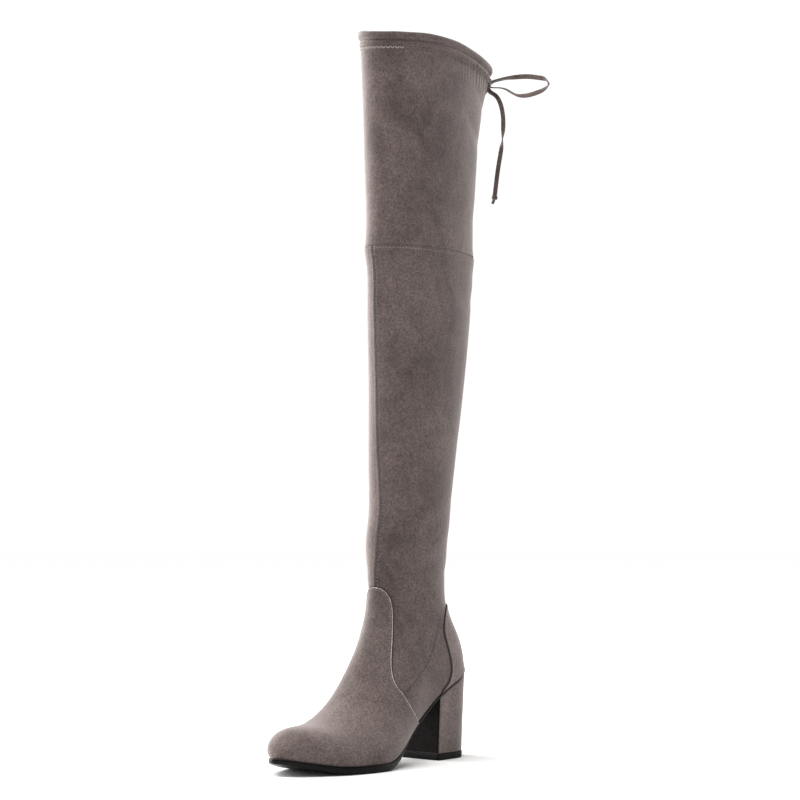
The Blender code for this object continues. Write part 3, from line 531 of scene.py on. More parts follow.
def half_section(height, half, edge, widest, low, high):
    """One side of a section, base to ridge: heights and half widths at the given shares of its curve."""
    fine = np.linspace(0, math.pi / 2, ARC_POINTS)
    reach = min(edge / half, EDGE_REACH_SHARE) if half > 0 else 0.0
    lift = widest * height
    lower_up = lift * (1 - np.cos(fine))
    lower_out = half * (1 - (1 - reach**low) * np.cos(fine) ** low) ** (1 / low)
    upper_up = lift + (height - lift) * np.sin(fine) ** (2 / high)
    upper_out = half * np.abs(np.cos(fine)) ** (2 / high)
    up = np.append(lower_up, upper_up[1:])
    out = np.append(lower_out, upper_out[1:])
    run = np.append(0.0, np.cumsum(np.hypot(np.diff(up), np.diff(out))))
    if run[-1] == 0:
        return np.zeros(len(SIDE_PLACES)), np.zeros(len(SIDE_PLACES))
    return np.interp(run[-1] * SIDE_PLACES, run, up), np.interp(run[-1] * SIDE_PLACES, run, out)


def upper_grid():
    """Points of the upper's outer face: rows from toe to collar, columns from the outer edge to the inner."""
    rows = section_rows()
    steps = len(SIDE_PLACES) - 1
    grid = np.zeros((len(rows["half"]), 2 * steps + 1, 3))
    for i in range(len(grid)):
        dy = rows["ridge_y"][i] - rows["base_y"][i]
        dz = rows["ridge_z"][i] - rows["base_z"][i]
        height = math.hypot(dy, dz) if i else 0.0
        for sign, high in ((1, "outer"), (-1, "inner")):
            up, out = half_section(
                height, rows["half"][i], rows["edge"][i], rows["widest"][i], rows["low"][i], rows[high][i]
            )
            share = up / height if height else up
            middle = rows["centre"][i] + (rows["skew"][i] - rows["centre"][i]) * share
            points = np.stack(
                (middle + sign * out, rows["base_y"][i] + dy * share, rows["base_z"][i] + dz * share), 1
            )
            if sign > 0:
                grid[i, : steps + 1] = points
            else:
                grid[i, steps:] = points[::-1]
    dip_collar(grid)
    return grid, rows


def dip_collar(grid):
    """Gives the collar's rim its line round the leg, and less of it to the rows just under it."""
    steps = np.linalg.norm(np.diff(grid[-1], axis=0), axis=1)
    around = 1 - 2 * np.append(0.0, np.cumsum(steps)) / steps.sum()
    knots = column(COLLAR_LINE, COLLAR_COLUMNS, "around")
    drop = steady(knots, column(COLLAR_LINE, COLLAR_COLUMNS, "drop"), around) * COLLAR_DIP
    ridge = grid[:, grid.shape[1] // 2, 2]
    near = np.clip((ridge - KNEE_HEIGHT) / (COLLAR_HEIGHT - KNEE_HEIGHT), 0, 1) ** DIP_POWER
    grid[:, :, 2] -= near[:, None] * drop[None, :]


def grid_normals(grid, foot_end):
    """Outward normals of the grid's points, with its seam at the back closed above the sole."""
    across = np.gradient(grid, axis=1)
    leg = slice(foot_end, None)
    wrapped = (grid[leg, 1] - grid[leg, -2]) / 2
    across[leg, 0] = wrapped
    across[leg, -1] = wrapped
    down = np.gradient(grid, axis=0)
    normals = np.cross(down, across)
    size = np.linalg.norm(normals, axis=2, keepdims=True)
    normals = normals / np.where(size > 0, size, 1)
    normals[0] = (0.0, -1.0, 0.0)
    return normals


def offset_grid(grid, normals, distance, foot_end):
    """The grid moved along its normals, by a distance for each row. Its edge on the sole moves level."""
    moved = grid + normals * distance[:, None, None]
    for end in (0, -1):
        level = normals[: foot_end + 1, end].copy()
        level[:, 2] = 0
        level /= np.linalg.norm(level, axis=1, keepdims=True)
        edge = grid[: foot_end + 1, end] + level * distance[: foot_end + 1, None]
        edge[:, 2] = sole_heights(y_to_along(edge[:, 1]))[1] + CLEARANCE
        moved[: foot_end + 1, end] = edge
    moved[0] = moved[0, 0]
    moved[foot_end, -1] = moved[foot_end, 0]
    return moved


def edge_angle(edge, height):
    rise = column(edge, EDGE_COLUMNS, "rise") * ANKLE_HEIGHT
    return steady(rise, column(edge, EDGE_COLUMNS, "degrees"), np.clip(height, rise[0], rise[-1]))


def sole_margin(along):
    """How far the sole stands out past the upper's edge: less where it lies over the heel."""
    share = np.clip((along - MARGIN_START_SHARE) / (MARGIN_END_SHARE - MARGIN_START_SHARE), 0, 1)
    return HEEL_MARGIN + (SOLE_MARGIN - HEEL_MARGIN) * share


def even_alongs(end, count):
    """Places from the heel's back to `end`, evenly spaced along the outline's outer side."""
    turn = np.linspace(0, math.pi, OUTLINE_POINTS)
    fine = (1 - np.cos(turn)) / 2 * end
    centre, half = outline(fine)
    run = np.append(0.0, np.cumsum(np.hypot(np.diff(fine) * SHOE_LENGTH, np.diff(centre + half))))
    return np.interp(np.linspace(0, run[-1], count), run, fine)


def outline_loop(end, count, margin):
    """Closed plan outline from the heel's back along the outer side and home along the inner side.

    It runs to the toe's tip, or to a straight breast where `end` is under 1.
    """
    along = even_alongs(end, count)
    centre, half = outline(along)
    y = along_to_y(along)
    outer = np.stack((centre + half, y), 1)
    inner = np.stack((centre - half, y), 1)[::-1]
    loop = np.concatenate((outer, inner[1:-1] if end == 1 else inner[:-1]))
    spread = margin(np.concatenate((along, along[::-1][1:-1] if end == 1 else along[::-1][:-1])))
    tangent = np.roll(loop, -1, 0) - np.roll(loop, 1, 0)
    if end < 1:
        tangent[count - 1] = (0, -1)
        tangent[count] = (0, 1)
    normal = np.stack((-tangent[:, 1], tangent[:, 0]), 1)
    normal /= np.linalg.norm(normal, axis=1, keepdims=True)
    return loop + normal * spread[:, None]


def with_height(loop, height):
    return np.column_stack((loop, np.broadcast_to(height, len(loop))))


def heel_loops():
    """The heel's outline under the seat, and the same shape drawn in to its foot print."""
    seat = outline_loop(BREAST_ALONG, HEEL_ROWS, lambda along: along * 0 + HEEL_MARGIN - CLEARANCE)
    low, high = seat.min(0), seat.max(0)
    middle = (low + high) / 2
    scale = np.array((HEEL_FOOT_WIDTH, HEEL_FOOT_DEPTH)) / (high - low)
    return seat, (seat - middle) * scale


# Materials

def new_material(name, colour, roughness, **sockets):
    made = bpy.data.materials.new(name)
    made.use_nodes = True
    shader = made.node_tree.nodes["Principled BSDF"]
    shader.inputs["Base Color"].default_value = (*colour, 1.0)
    shader.inputs["Roughness"].default_value = roughness
    for socket, value in sockets.items():
        shader.inputs[socket.replace("_", " ")].default_value = value
    return made, shader


def noise(material, scale, detail=3.0, roughness=0.5, distortion=0.0, stretch=None):
    """Noise in the object's own metres, stretched along each axis where asked."""
    links = material.node_tree.links
    coords = material.node_tree.nodes.new("ShaderNodeTexCoord")
    made = material.node_tree.nodes.new("ShaderNodeTexNoise")
    made.inputs["Scale"].default_value = scale
    made.inputs["Detail"].default_value = detail
    made.inputs["Roughness"].default_value = roughness
    made.inputs["Distortion"].default_value = distortion
    if stretch:
        mapping = material.node_tree.nodes.new("ShaderNodeMapping")
        mapping.inputs["Scale"].default_value = stretch
        links.new(coords.outputs["Object"], mapping.inputs["Vector"])
        links.new(mapping.outputs["Vector"], made.inputs["Vector"])
    else:
        links.new(coords.outputs["Object"], made.inputs["Vector"])
    return made.outputs["Fac"]


def ramp(material, value, stops):
    made = material.node_tree.nodes.new("ShaderNodeValToRGB")
    while len(made.color_ramp.elements) < len(stops):
        made.color_ramp.elements.new(0.5)
    for element, (place, colour) in zip(made.color_ramp.elements, stops):
        element.position = place
        element.color = (*colour, 1.0) if len(colour) == 3 else colour
    material.node_tree.links.new(value, made.inputs["Fac"])
    return made.outputs["Color"]


def mix(material, kind, share, one, other):
    """Mixes two colours. share is a number or a socket."""
    made = material.node_tree.nodes.new("ShaderNodeMix")
    made.data_type = "RGBA"
    made.blend_type = kind
    links = material.node_tree.links
    if isinstance(share, float):
        made.inputs[0].default_value = share
    else:
        links.new(share, made.inputs[0])
    for socket, value in ((made.inputs[6], one), (made.inputs[7], other)):
        if isinstance(value, tuple):
            socket.default_value = (*value, 1.0)
        else:
            links.new(value, socket)
    return made.outputs[2]


def grey(level):
    return (level, level, level)


def bump_stack(material, shader, layers):
    """Bumps one on another. Each layer: height socket, distance in metres, strength."""
    links = material.node_tree.links
    before = None
    for height, distance, strength in layers:
        made = material.node_tree.nodes.new("ShaderNodeBump")
        made.inputs["Distance"].default_value = distance
        made.inputs["Strength"].default_value = strength
        links.new(height, made.inputs["Height"])
        if before is not None:
            links.new(before, made.inputs["Normal"])
        before = made.outputs["Normal"]
    links.new(before, shader.inputs["Normal"])


def suede(name, colour, nap=1.0):
    """Brushed suede: mottled nap at three scales, short fibre grain and a soft sheen at glancing angles."""
    made, shader = new_material(
        name, colour, 0.95,
        Sheen_Weight=0.55, Sheen_Roughness=0.42, Sheen_Tint=(1.0, 0.93, 0.90, 1.0), Specular_IOR_Level=0.12,
    )
    dark = tuple(c * (1 - 0.32 * nap) for c in colour)
    light = tuple(c * (1 + 0.24 * nap) for c in colour)
    patches = noise(made, 21.0, 3.0, 0.55, 0.7, stretch=(1.0, 1.0, 0.85))
    base = ramp(made, patches, ((0.32, dark), (0.50, colour), (0.70, light)))
    strokes = noise(made, 150.0, 3.0, 0.6, 0.5, stretch=(1.0, 1.0, 0.75))
    brushed = ramp(made, strokes, ((0.32, grey(0.60)), (0.66, grey(1.20))))
    base = mix(made, "MULTIPLY", 0.30 * nap, base, brushed)
    grain = noise(made, 520.0, 3.0, 0.75)
    base = mix(made, "MULTIPLY", 0.62, base, ramp(made, grain, ((0.36, grey(0.36)), (0.64, grey(1.50)))))
    made.node_tree.links.new(base, shader.inputs["Base Color"])
    fibre = noise(made, 1300.0, 2.0, 0.75)
    bump_stack(made, shader, ((strokes, 0.0004, 0.30), (grain, 0.00030, 0.60), (fibre, 0.00016, 0.5)))
    return made


def smooth_black(name, colour, roughness, scuff, gloss):
    made, shader = new_material(name, colour, roughness, Specular_IOR_Level=gloss)
    cloud = noise(made, 90.0, 3.0, 0.6)
    made.node_tree.links.new(
        ramp(made, cloud, ((0.3, tuple(c * 0.8 for c in colour)), (0.7, tuple(c * 1.35 for c in colour)))),
        shader.inputs["Base Color"],
    )
    rough = noise(made, 260.0, 3.0, 0.6)
    made.node_tree.links.new(
        ramp(made, rough, ((0.3, grey(roughness * 0.85)), (0.7, grey(min(1.0, roughness * 1.2))))),
        shader.inputs["Roughness"],
    )
    bump_stack(made, shader, ((rough, 0.0002 * scuff, 0.5), (noise(made, 1400.0, 2.0), 0.0001 * scuff, 0.5)))
    return made


def knit_lining(name, colour):
    made, shader = new_material(name, colour, 0.9, Sheen_Weight=0.25, Sheen_Roughness=0.5)
    weave = noise(made, 1400.0, 2.0, 0.6, stretch=(1.0, 1.0, 0.3))
    cloud = noise(made, 30.0, 3.0)
    base = ramp(made, cloud, ((0.3, tuple(c * 0.88 for c in colour)), (0.7, tuple(c * 1.08 for c in colour))))
    base = mix(made, "MULTIPLY", 0.35, base, ramp(made, weave, ((0.35, grey(0.6)), (0.65, grey(1.2)))))
    made.node_tree.links.new(base, shader.inputs["Base Color"])
    bump_stack(made, shader, ((weave, 0.0002, 0.5),))
    return made


def thread(name, colour):
    made, shader = new_material(name, colour, 0.7, Sheen_Weight=0.3)
    twist = noise(made, 1800.0, 1.0)
    dark, light = (tuple(c * share for c in colour) for share in (0.7, 1.15))
    base = ramp(made, twist, ((0.35, dark), (0.65, light)))
    made.node_tree.links.new(base, shader.inputs["Base Color"])
    return made


# Meshes

def make_piece(name, points, faces, finish, slot=None, smooth_degrees=60):
    mesh = bpy.data.meshes.new(name)
    mesh.from_pydata(np.asarray(points, float).tolist(), [], faces)
    mesh.validate()
    mesh.update()
    made = bpy.data.objects.new(name, mesh)
    bpy.context.scene.collection.objects.link(made)
    mesh.materials.append(finish)
    mesh.shade_smooth()
    if smooth_degrees:
        mesh.set_sharp_from_angle(angle=math.radians(smooth_degrees))
    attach(made, "root")
    return made


def tube(path, sideways, normals, profile, closed=False):
    """Sweeps a closed profile (side, up) along a path with given side and up directions. Ends are capped."""
    count = len(profile)
    points = (
        path[:, None, :]
        + sideways[:, None, :] * profile[None, :, 0, None]
        + normals[:, None, :] * profile[None, :, 1, None]
    ).reshape(-1, 3)
    faces = []
    rings = len(path)
    for i in range(rings if closed else rings - 1):
        after = (i + 1) % rings
        for k in range(count):
            nxt = (k + 1) % count
            faces.append((i * count + k, i * count + nxt, after * count + nxt, after * count + k))
    if not closed:
        faces.append(tuple(reversed(range(count))))
        faces.append(tuple((rings - 1) * count + k for k in range(count)))
    return points, faces


def join_parts(parts):
    points, faces, start = [], [], 0
    for more_points, more_faces in parts:
        points.append(np.asarray(more_points))
        faces.extend(tuple(index + start for index in face) for face in more_faces)
        start += len(more_points)
    return np.concatenate(points), faces


def unit(vectors):
    return vectors / np.maximum(np.linalg.norm(vectors, axis=-1, keepdims=True), 1e-12)


def tangents(path, closed=False):
    if closed:
        return unit(np.roll(path, -1, 0) - np.roll(path, 1, 0))
    return unit(np.gradient(path, axis=0))


def run_of(path):
    return np.append(0.0, np.cumsum(np.linalg.norm(np.diff(path, axis=0), axis=1)))


def resampled(where, run, path):
    """The path's points at distances along it."""
    return np.stack([np.interp(where, run, path[:, axis]) for axis in range(3)], 1)


def nearest(tree, path):
    """The nearest places on a tree's faces to a path's points, and the normals there."""
    places, normals = [], []
    for point in path:
        place, normal, _, _ = tree.find_nearest(Vector(point))
        places.append(np.array(place))
        normals.append(np.array(normal))
    return np.array(places), np.array(normals)


def spaced(path, step):
    """The path with points a step apart."""
    run = run_of(path)
    where = np.linspace(0, run[-1], max(2, int(round(run[-1] / step)) + 1))
    return resampled(where, run, path)


def eased(path, passes):
    for _ in range(passes):
        path = np.concatenate((path[:1], (path[:-2] + 2 * path[1:-1] + path[2:]) / 4, path[-1:]))
    return path


# The upper's surface with its folds and seams

def bell(value, width):
    return np.exp(-((value / width) ** 2))


def smoothstep(value, low, high):
    share = np.clip((value - low) / (high - low), 0, 1)
    return share * share * (3 - 2 * share)


# Soft folds, by column. Height, a share of COLLAR_HEIGHT. Degrees round the leg from straight ahead, above
# zero on the outer side. Spread: half length in degrees. Rise of one end over the other, half width, and depth
# (below zero a ridge), all in metres.
FOLDS = (
    (0.262, 60.0, 42.0, 0.010, 0.0060, 0.0009),
    (0.283, 78.0, 40.0, 0.012, 0.0055, -0.0006),
    (0.305, 50.0, 36.0, -0.008, 0.0060, 0.0007),
    (0.240, -70.0, 40.0, 0.010, 0.0060, 0.0009),
    (0.276, -60.0, 38.0, -0.010, 0.0060, 0.0007),
    (0.262, 176.0, 46.0, 0.004, 0.0050, 0.0009),
    (0.286, 188.0, 40.0, -0.005, 0.0055, 0.0008),
    (0.312, 172.0, 38.0, 0.006, 0.0060, 0.0006),
    (0.345, 120.0, 40.0, 0.012, 0.0080, 0.0006),
    (0.640, 150.0, 42.0, 0.010, 0.0090, 0.0009),
    (0.662, 200.0, 44.0, -0.010, 0.0090, 0.0009),
    (0.690, 168.0, 40.0, 0.006, 0.0085, 0.0007),
    (0.715, 30.0, 34.0, -0.012, 0.0070, 0.0006),
    (0.745, 120.0, 46.0, 0.014, 0.0100, 0.0008),
    (0.790, 60.0, 40.0, 0.016, 0.0120, 0.0006),
    (0.880, 150.0, 30.0, -0.014, 0.0080, 0.0008),
    (0.905, 128.0, 26.0, 0.012, 0.0075, 0.0007),
    (0.915, 205.0, 30.0, 0.016, 0.0080, 0.0008),
    (0.930, 160.0, 22.0, -0.010, 0.0060, 0.0007),
    (0.550, 75.0, 44.0, 0.016, 0.0130, 0.0006),
    (0.460, 105.0, 46.0, -0.014, 0.0140, 0.0006),
)


def surface_facts(grid, rows):
    """What folds and seams go by: height, degrees round the leg, arc from the front and from the back."""
    middle = grid.shape[1] // 2
    leg_middle = (grid[:, :1, 1] + grid[:, middle : middle + 1, 1]) / 2
    leg_middle[: rows["foot_end"]] = -ANKLE_SETBACK
    steps = np.linalg.norm(np.diff(grid, axis=1), axis=2)
    run = np.concatenate((np.zeros((len(grid), 1)), np.cumsum(steps, axis=1)), axis=1)
    return {
        "height": grid[:, :, 2],
        "degrees": np.degrees(np.arctan2(grid[:, :, 0], leg_middle - grid[:, :, 1])),
        "front_arc": run[:, middle : middle + 1] - run,
        "back_arc": np.minimum(run, run[:, -1:] - run),
        "below_top": np.broadcast_to(rows["below_top"][:, None], run.shape),
        "from_knee": np.broadcast_to(rows["from_knee"][:, None], run.shape),
    }


def soft_folds(facts):
    """The folds together, in metres outwards."""
    total = np.zeros_like(facts["height"])
    for height, degrees, spread, rise, wide, deep in FOLDS:
        turn = (facts["degrees"] - degrees + 180) % 360 - 180
        line = height * COLLAR_HEIGHT + rise * turn / spread
        total -= deep * bell(facts["height"] - line, wide) * bell(turn, spread)
    seam_guard = smoothstep(np.abs(facts["from_knee"]), 0.002, 0.016)
    return total * seam_guard * smoothstep(facts["below_top"], 0.010, 0.030)


def gathers(facts):
    """Pleats that the elastic draws into the collar: short fine ones at the stitch line, long ones behind."""
    side = facts["front_arc"]
    sides = smoothstep(np.abs(side), 0.030, 0.075)
    behind = smoothstep(np.abs(side), 0.090, 0.165)
    under = facts["below_top"] - CASING_HEIGHT
    fine = np.sin(side / 0.00031 + 1.6 * np.sin(side / 0.0043))
    long = np.sin(side / 0.00105 + 1.3 * np.sin(side / 0.0090)) + 0.5 * np.sin(side / 0.00171 + 1.2)
    drawn = 0.00022 * sides * fine * bell(under - 0.0030, 0.0034)
    return drawn + 0.00042 * behind * long * (bell(under, 0.0060) + 0.6 * bell(under - 0.012, 0.011))


def seam_arc(height):
    heights, arcs = np.array(FRONT_SEAM).T
    return steady(heights, arcs, np.clip(height, heights[0], heights[-1]))


# Height of the rim's roll, how far it stands out, and the stitch line below the rim
ROLL_HEIGHT = 0.0072
ROLL_SWELL = 0.0015
STITCH_LINE = CASING_HEIGHT + 0.0006

# Relief across each seam: place, half width and height, which is below zero in a groove
KNEE_RELIEF = (
    (-0.0013, 0.0011, 0.00020),
    (0.0012, 0.0010, 0.00012),
    (0.0, 0.00042, -0.00075),
    (-0.010, 0.010, 0.0003),
    (0.008, 0.007, -0.0003),
)
FRONT_RELIEF = ((0.0026, 0.0013, 0.00028), (0.0, 0.0009, -0.0007))
BACK_RELIEF = ((0.0017, 0.0011, 0.0002), (0.0, 0.0005, -0.0005))
CASING_RELIEF = (
    (ROLL_HEIGHT + 0.0012, 0.0016, -0.0011),
    (0.0122, 0.0020, 0.0004),
    (STITCH_LINE, 0.0009, -0.0008),
)


def relief(where, table):
    return sum(height * bell(where - place, half_width) for place, half_width, height in table)


def seams(facts):
    """Grooves and raised folds of the seams, in metres outwards."""
    knee = facts["from_knee"]
    total = relief(knee, KNEE_RELIEF)
    lower = smoothstep(facts["height"], ANKLE_HEIGHT * 0.9, ANKLE_HEIGHT) * (knee < 0)
    front = np.abs(facts["front_arc"] - seam_arc(facts["height"]))
    total += lower * relief(front, FRONT_RELIEF)
    over_counter = smoothstep(facts["height"], HEEL_EDGE[-1][0] * ANKLE_HEIGHT, ANKLE_HEIGHT)
    total += over_counter * relief(facts["back_arc"], BACK_RELIEF)
    return total


def rim_drop(under):
    """How far the rim's rounded top draws in, in metres."""
    roll = (SHAFT_WALL + CASING_STEP) / 2
    return roll - np.sqrt(np.maximum(roll**2 - np.maximum(roll - under, 0) ** 2, 0))


def collar_shape(facts):
    """The turned casing: a rolled rim, a soft trough under it and the drawn-in stitch line."""
    under = facts["below_top"]
    total = CASING_STEP * smoothstep(-under, -CASING_HEIGHT, -CASING_HEIGHT + 0.002)
    half = ROLL_HEIGHT / 2
    total += ROLL_SWELL * np.sqrt(np.clip(1 - ((under - half) / half) ** 2, 0, 1))
    total += relief(under, CASING_RELIEF)
    return total - rim_drop(under)


def bands(grid):
    """Faces of a grid of points, as quads."""
    height, width = grid.shape[:2]
    index = np.arange(height * width).reshape(height, width)
    quads = np.stack((index[:-1, :-1], index[1:, :-1], index[1:, 1:], index[:-1, 1:]), -1)
    return quads.reshape(-1, 4)


def weld_leg(points, faces, shape, foot_end, has_tip=True):
    """The leg's last column is its first one, and the toe's row is one point."""
    width = shape[1]
    same = np.arange(len(points))
    for i in range(foot_end, shape[0]):
        same[i * width + width - 1] = i * width
    if has_tip:
        same[:width] = 0
    cleaned = []
    for face in same[faces]:
        kept = tuple(dict.fromkeys(int(v) for v in face))
        if len(kept) > 2:
            cleaned.append(kept)
    return cleaned


def thinned(count, step):
    kept = np.arange(0, count, step)
    return kept if kept[-1] == count - 1 else np.append(kept, count - 1)


# The pleated band below the collar: from and to, below the rim, and how finely it is divided round the leg
PLEAT_BAND = (0.0105, 0.0400)
PLEAT_COLUMNS = 1300


class Surface:
    """The upper's finished outer face, with what other pieces need to lie on it."""

    def __init__(self):
        self.grid, self.rows = upper_grid()
        self.foot_end = self.rows["foot_end"]
        self.base_normals = grid_normals(self.grid, self.foot_end)
        self.facts = surface_facts(self.grid, self.rows)
        self.soft = soft_folds(self.facts)
        lift = self.soft + seams(self.facts) + collar_shape(self.facts)
        lift[: self.foot_end + 1, (0, -1)] = 0
        lift[0] = 0
        self.shown = self.grid + self.base_normals * lift[:, :, None]
        self.close(self.shown)
        self.tree = self.tree_of(self.shown)

    def close(self, grid):
        grid[self.foot_end :, -1] = grid[self.foot_end :, 0]
        grid[0] = grid[0, 0]

    def tree_of(self, grid):
        return BVHTree.FromPolygons(grid.reshape(-1, 3).tolist(), bands(grid).tolist())

    def raised(self, distance):
        """The face with its soft folds alone, moved out by a distance: what an overlay's face is cut from."""
        spread = np.full(len(self.grid), distance)
        moved = offset_grid(self.grid, self.base_normals, spread, self.foot_end)
        soft = self.soft.copy()
        soft[: self.foot_end + 1, (0, -1)] = 0
        soft[0] = 0
        moved += self.base_normals * soft[:, :, None]
        self.close(moved)
        return moved

    def hit(self, height, degrees, middle=-ANKLE_SETBACK):
        """The point and normal of the face at a height and degrees from straight ahead, seen from inside."""
        turn = math.radians(degrees)
        way = Vector((math.sin(turn), -math.cos(turn), 0.0))
        place, normal, _, _ = self.tree.ray_cast(Vector((0.0, middle, height)), way)
        if normal.dot(way) < 0:
            normal = -normal
        return np.array(place), np.array(normal)

    def settle(self, path, lift=0.0):
        """The path laid on the face, and the face's normals there."""
        places, normals = nearest(self.tree, path)
        return places + normals * lift, normals


def upper_shell(surface, finish, lining):
    """The whole upper: outer face, a coarser lined inner face, the rolled rim and the edge on the sole."""
    outer, foot_end = surface.shown, surface.foot_end
    width = outer.shape[1]
    ridge = surface.grid[:, width // 2, 2]
    share = np.clip((ridge - ANKLE_HEIGHT) / (KNEE_HEIGHT - ANKLE_HEIGHT), 0, 1)
    wall = FOOT_WALL + (SHAFT_WALL - FOOT_WALL) * share
    inner = offset_grid(surface.grid, surface.base_normals, -wall, foot_end)
    sunk = rim_drop(surface.rows["below_top"])
    soft = surface.soft.copy()
    soft[: foot_end + 1, (0, -1)] = 0
    inner += surface.base_normals * (soft * 0.8 + sunk[:, None])[:, :, None]
    surface.close(inner)
    kept = np.unique(np.concatenate((thinned(foot_end + 1, 4), foot_end + thinned(len(outer) - foot_end, 4))))
    kept = np.unique(np.append(kept, np.arange(len(outer) - 6, len(outer))))
    start = outer.shape[0] * width
    faces = weld_leg(outer.reshape(-1, 3), bands(outer), outer.shape, foot_end)
    inner_end = int(np.searchsorted(kept, foot_end))
    lined = weld_leg(inner[kept].reshape(-1, 3), bands(inner[kept])[:, ::-1], (len(kept), width), inner_end)
    lined = [tuple(v + start for v in face) for face in lined]
    rims = []
    for k in range(inner_end):
        low, high = int(kept[k]), int(kept[k + 1])
        for column, turned in ((0, False), (width - 1, True)):
            edge = [i * width + column if i else 0 for i in range(low, high + 1)]
            back = [start + (k + 1) * width + column, start + k * width + column if k else start]
            if high == foot_end and turned:
                edge[-1] = high * width
                back[0] = start + (k + 1) * width
            loop = edge + back
            rims.append(tuple(loop) if turned else tuple(reversed(loop)))
    top, inner_top = (len(outer) - 1) * width, start + (len(kept) - 1) * width
    for j in range(width - 1):
        after = (j + 1) % (width - 1)
        rims.append((top + j, inner_top + j, inner_top + after, top + after))
    points = np.concatenate((outer.reshape(-1, 3), inner[kept].reshape(-1, 3)))
    made = make_piece("upper_suede", points, faces + lined + rims, finish, "suede", SUEDE_ANGLE)
    made.data.materials.append(lining)
    numbers = np.zeros(len(made.data.polygons), np.int32)
    numbers[len(faces) : len(faces) + len(lined)] = 1
    made.data.polygons.foreach_set("material_index", numbers)
    return drop_loose(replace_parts(made, "upper"))


def collar_pleats(surface, finish):
    """A finely divided band on the collar that carries the pleats. Its edges sink into the shell."""
    under = surface.rows["below_top"]
    rows = (under > PLEAT_BAND[0]) & (under < PLEAT_BAND[1])
    dense = np.linspace(0, 1, PLEAT_COLUMNS)
    layers = {}
    for name in ("front_arc", "below_top"):
        layers[name] = np.zeros((np.count_nonzero(rows), PLEAT_COLUMNS))
    points = np.zeros((np.count_nonzero(rows), PLEAT_COLUMNS, 3))
    normals = np.zeros_like(points)
    for k, i in enumerate(np.flatnonzero(rows)):
        run = run_of(surface.shown[i])
        where = dense * run[-1]
        points[k] = resampled(where, run, surface.shown[i])
        normals[k] = resampled(where, run, surface.base_normals[i])
        for name, values in layers.items():
            values[k] = np.interp(where, run, surface.facts[name][i])
    inside = np.minimum(layers["below_top"] - PLEAT_BAND[0], PLEAT_BAND[1] - layers["below_top"])
    lift = gathers(layers) + 0.0003 * smoothstep(inside, 0.0005, 0.0040) - 0.0002
    points = points + unit(normals) * lift[:, :, None]
    points[:, -1] = points[:, 0]
    flat = points.reshape(-1, 3)
    faces = weld_leg(flat, bands(points), points.shape, 0, False)
    return drop_loose(make_piece("collar_pleats", flat, faces, finish, "suede", SUEDE_ANGLE))


def drop_loose(piece):
    """Takes away the points that welding left unused."""
    mesh = bmesh.new()
    mesh.from_mesh(piece.data)
    bmesh.ops.delete(mesh, geom=[v for v in mesh.verts if not v.link_faces], context="VERTS")
    mesh.to_mesh(piece.data)
    mesh.free()
    return piece


# Overlays

def covered(points, edge, behind):
    """Above zero where the overlay lies, as in the CAD."""
    ahead = points[..., 1] + ANKLE_SETBACK if behind else -ANKLE_SETBACK - points[..., 1]
    inside = edge_angle(edge, points[..., 2]) - np.abs(np.degrees(np.arctan2(points[..., 0], ahead)))
    return np.minimum(inside, (edge[-1][0] * ANKLE_HEIGHT - points[..., 2]) * 1000)


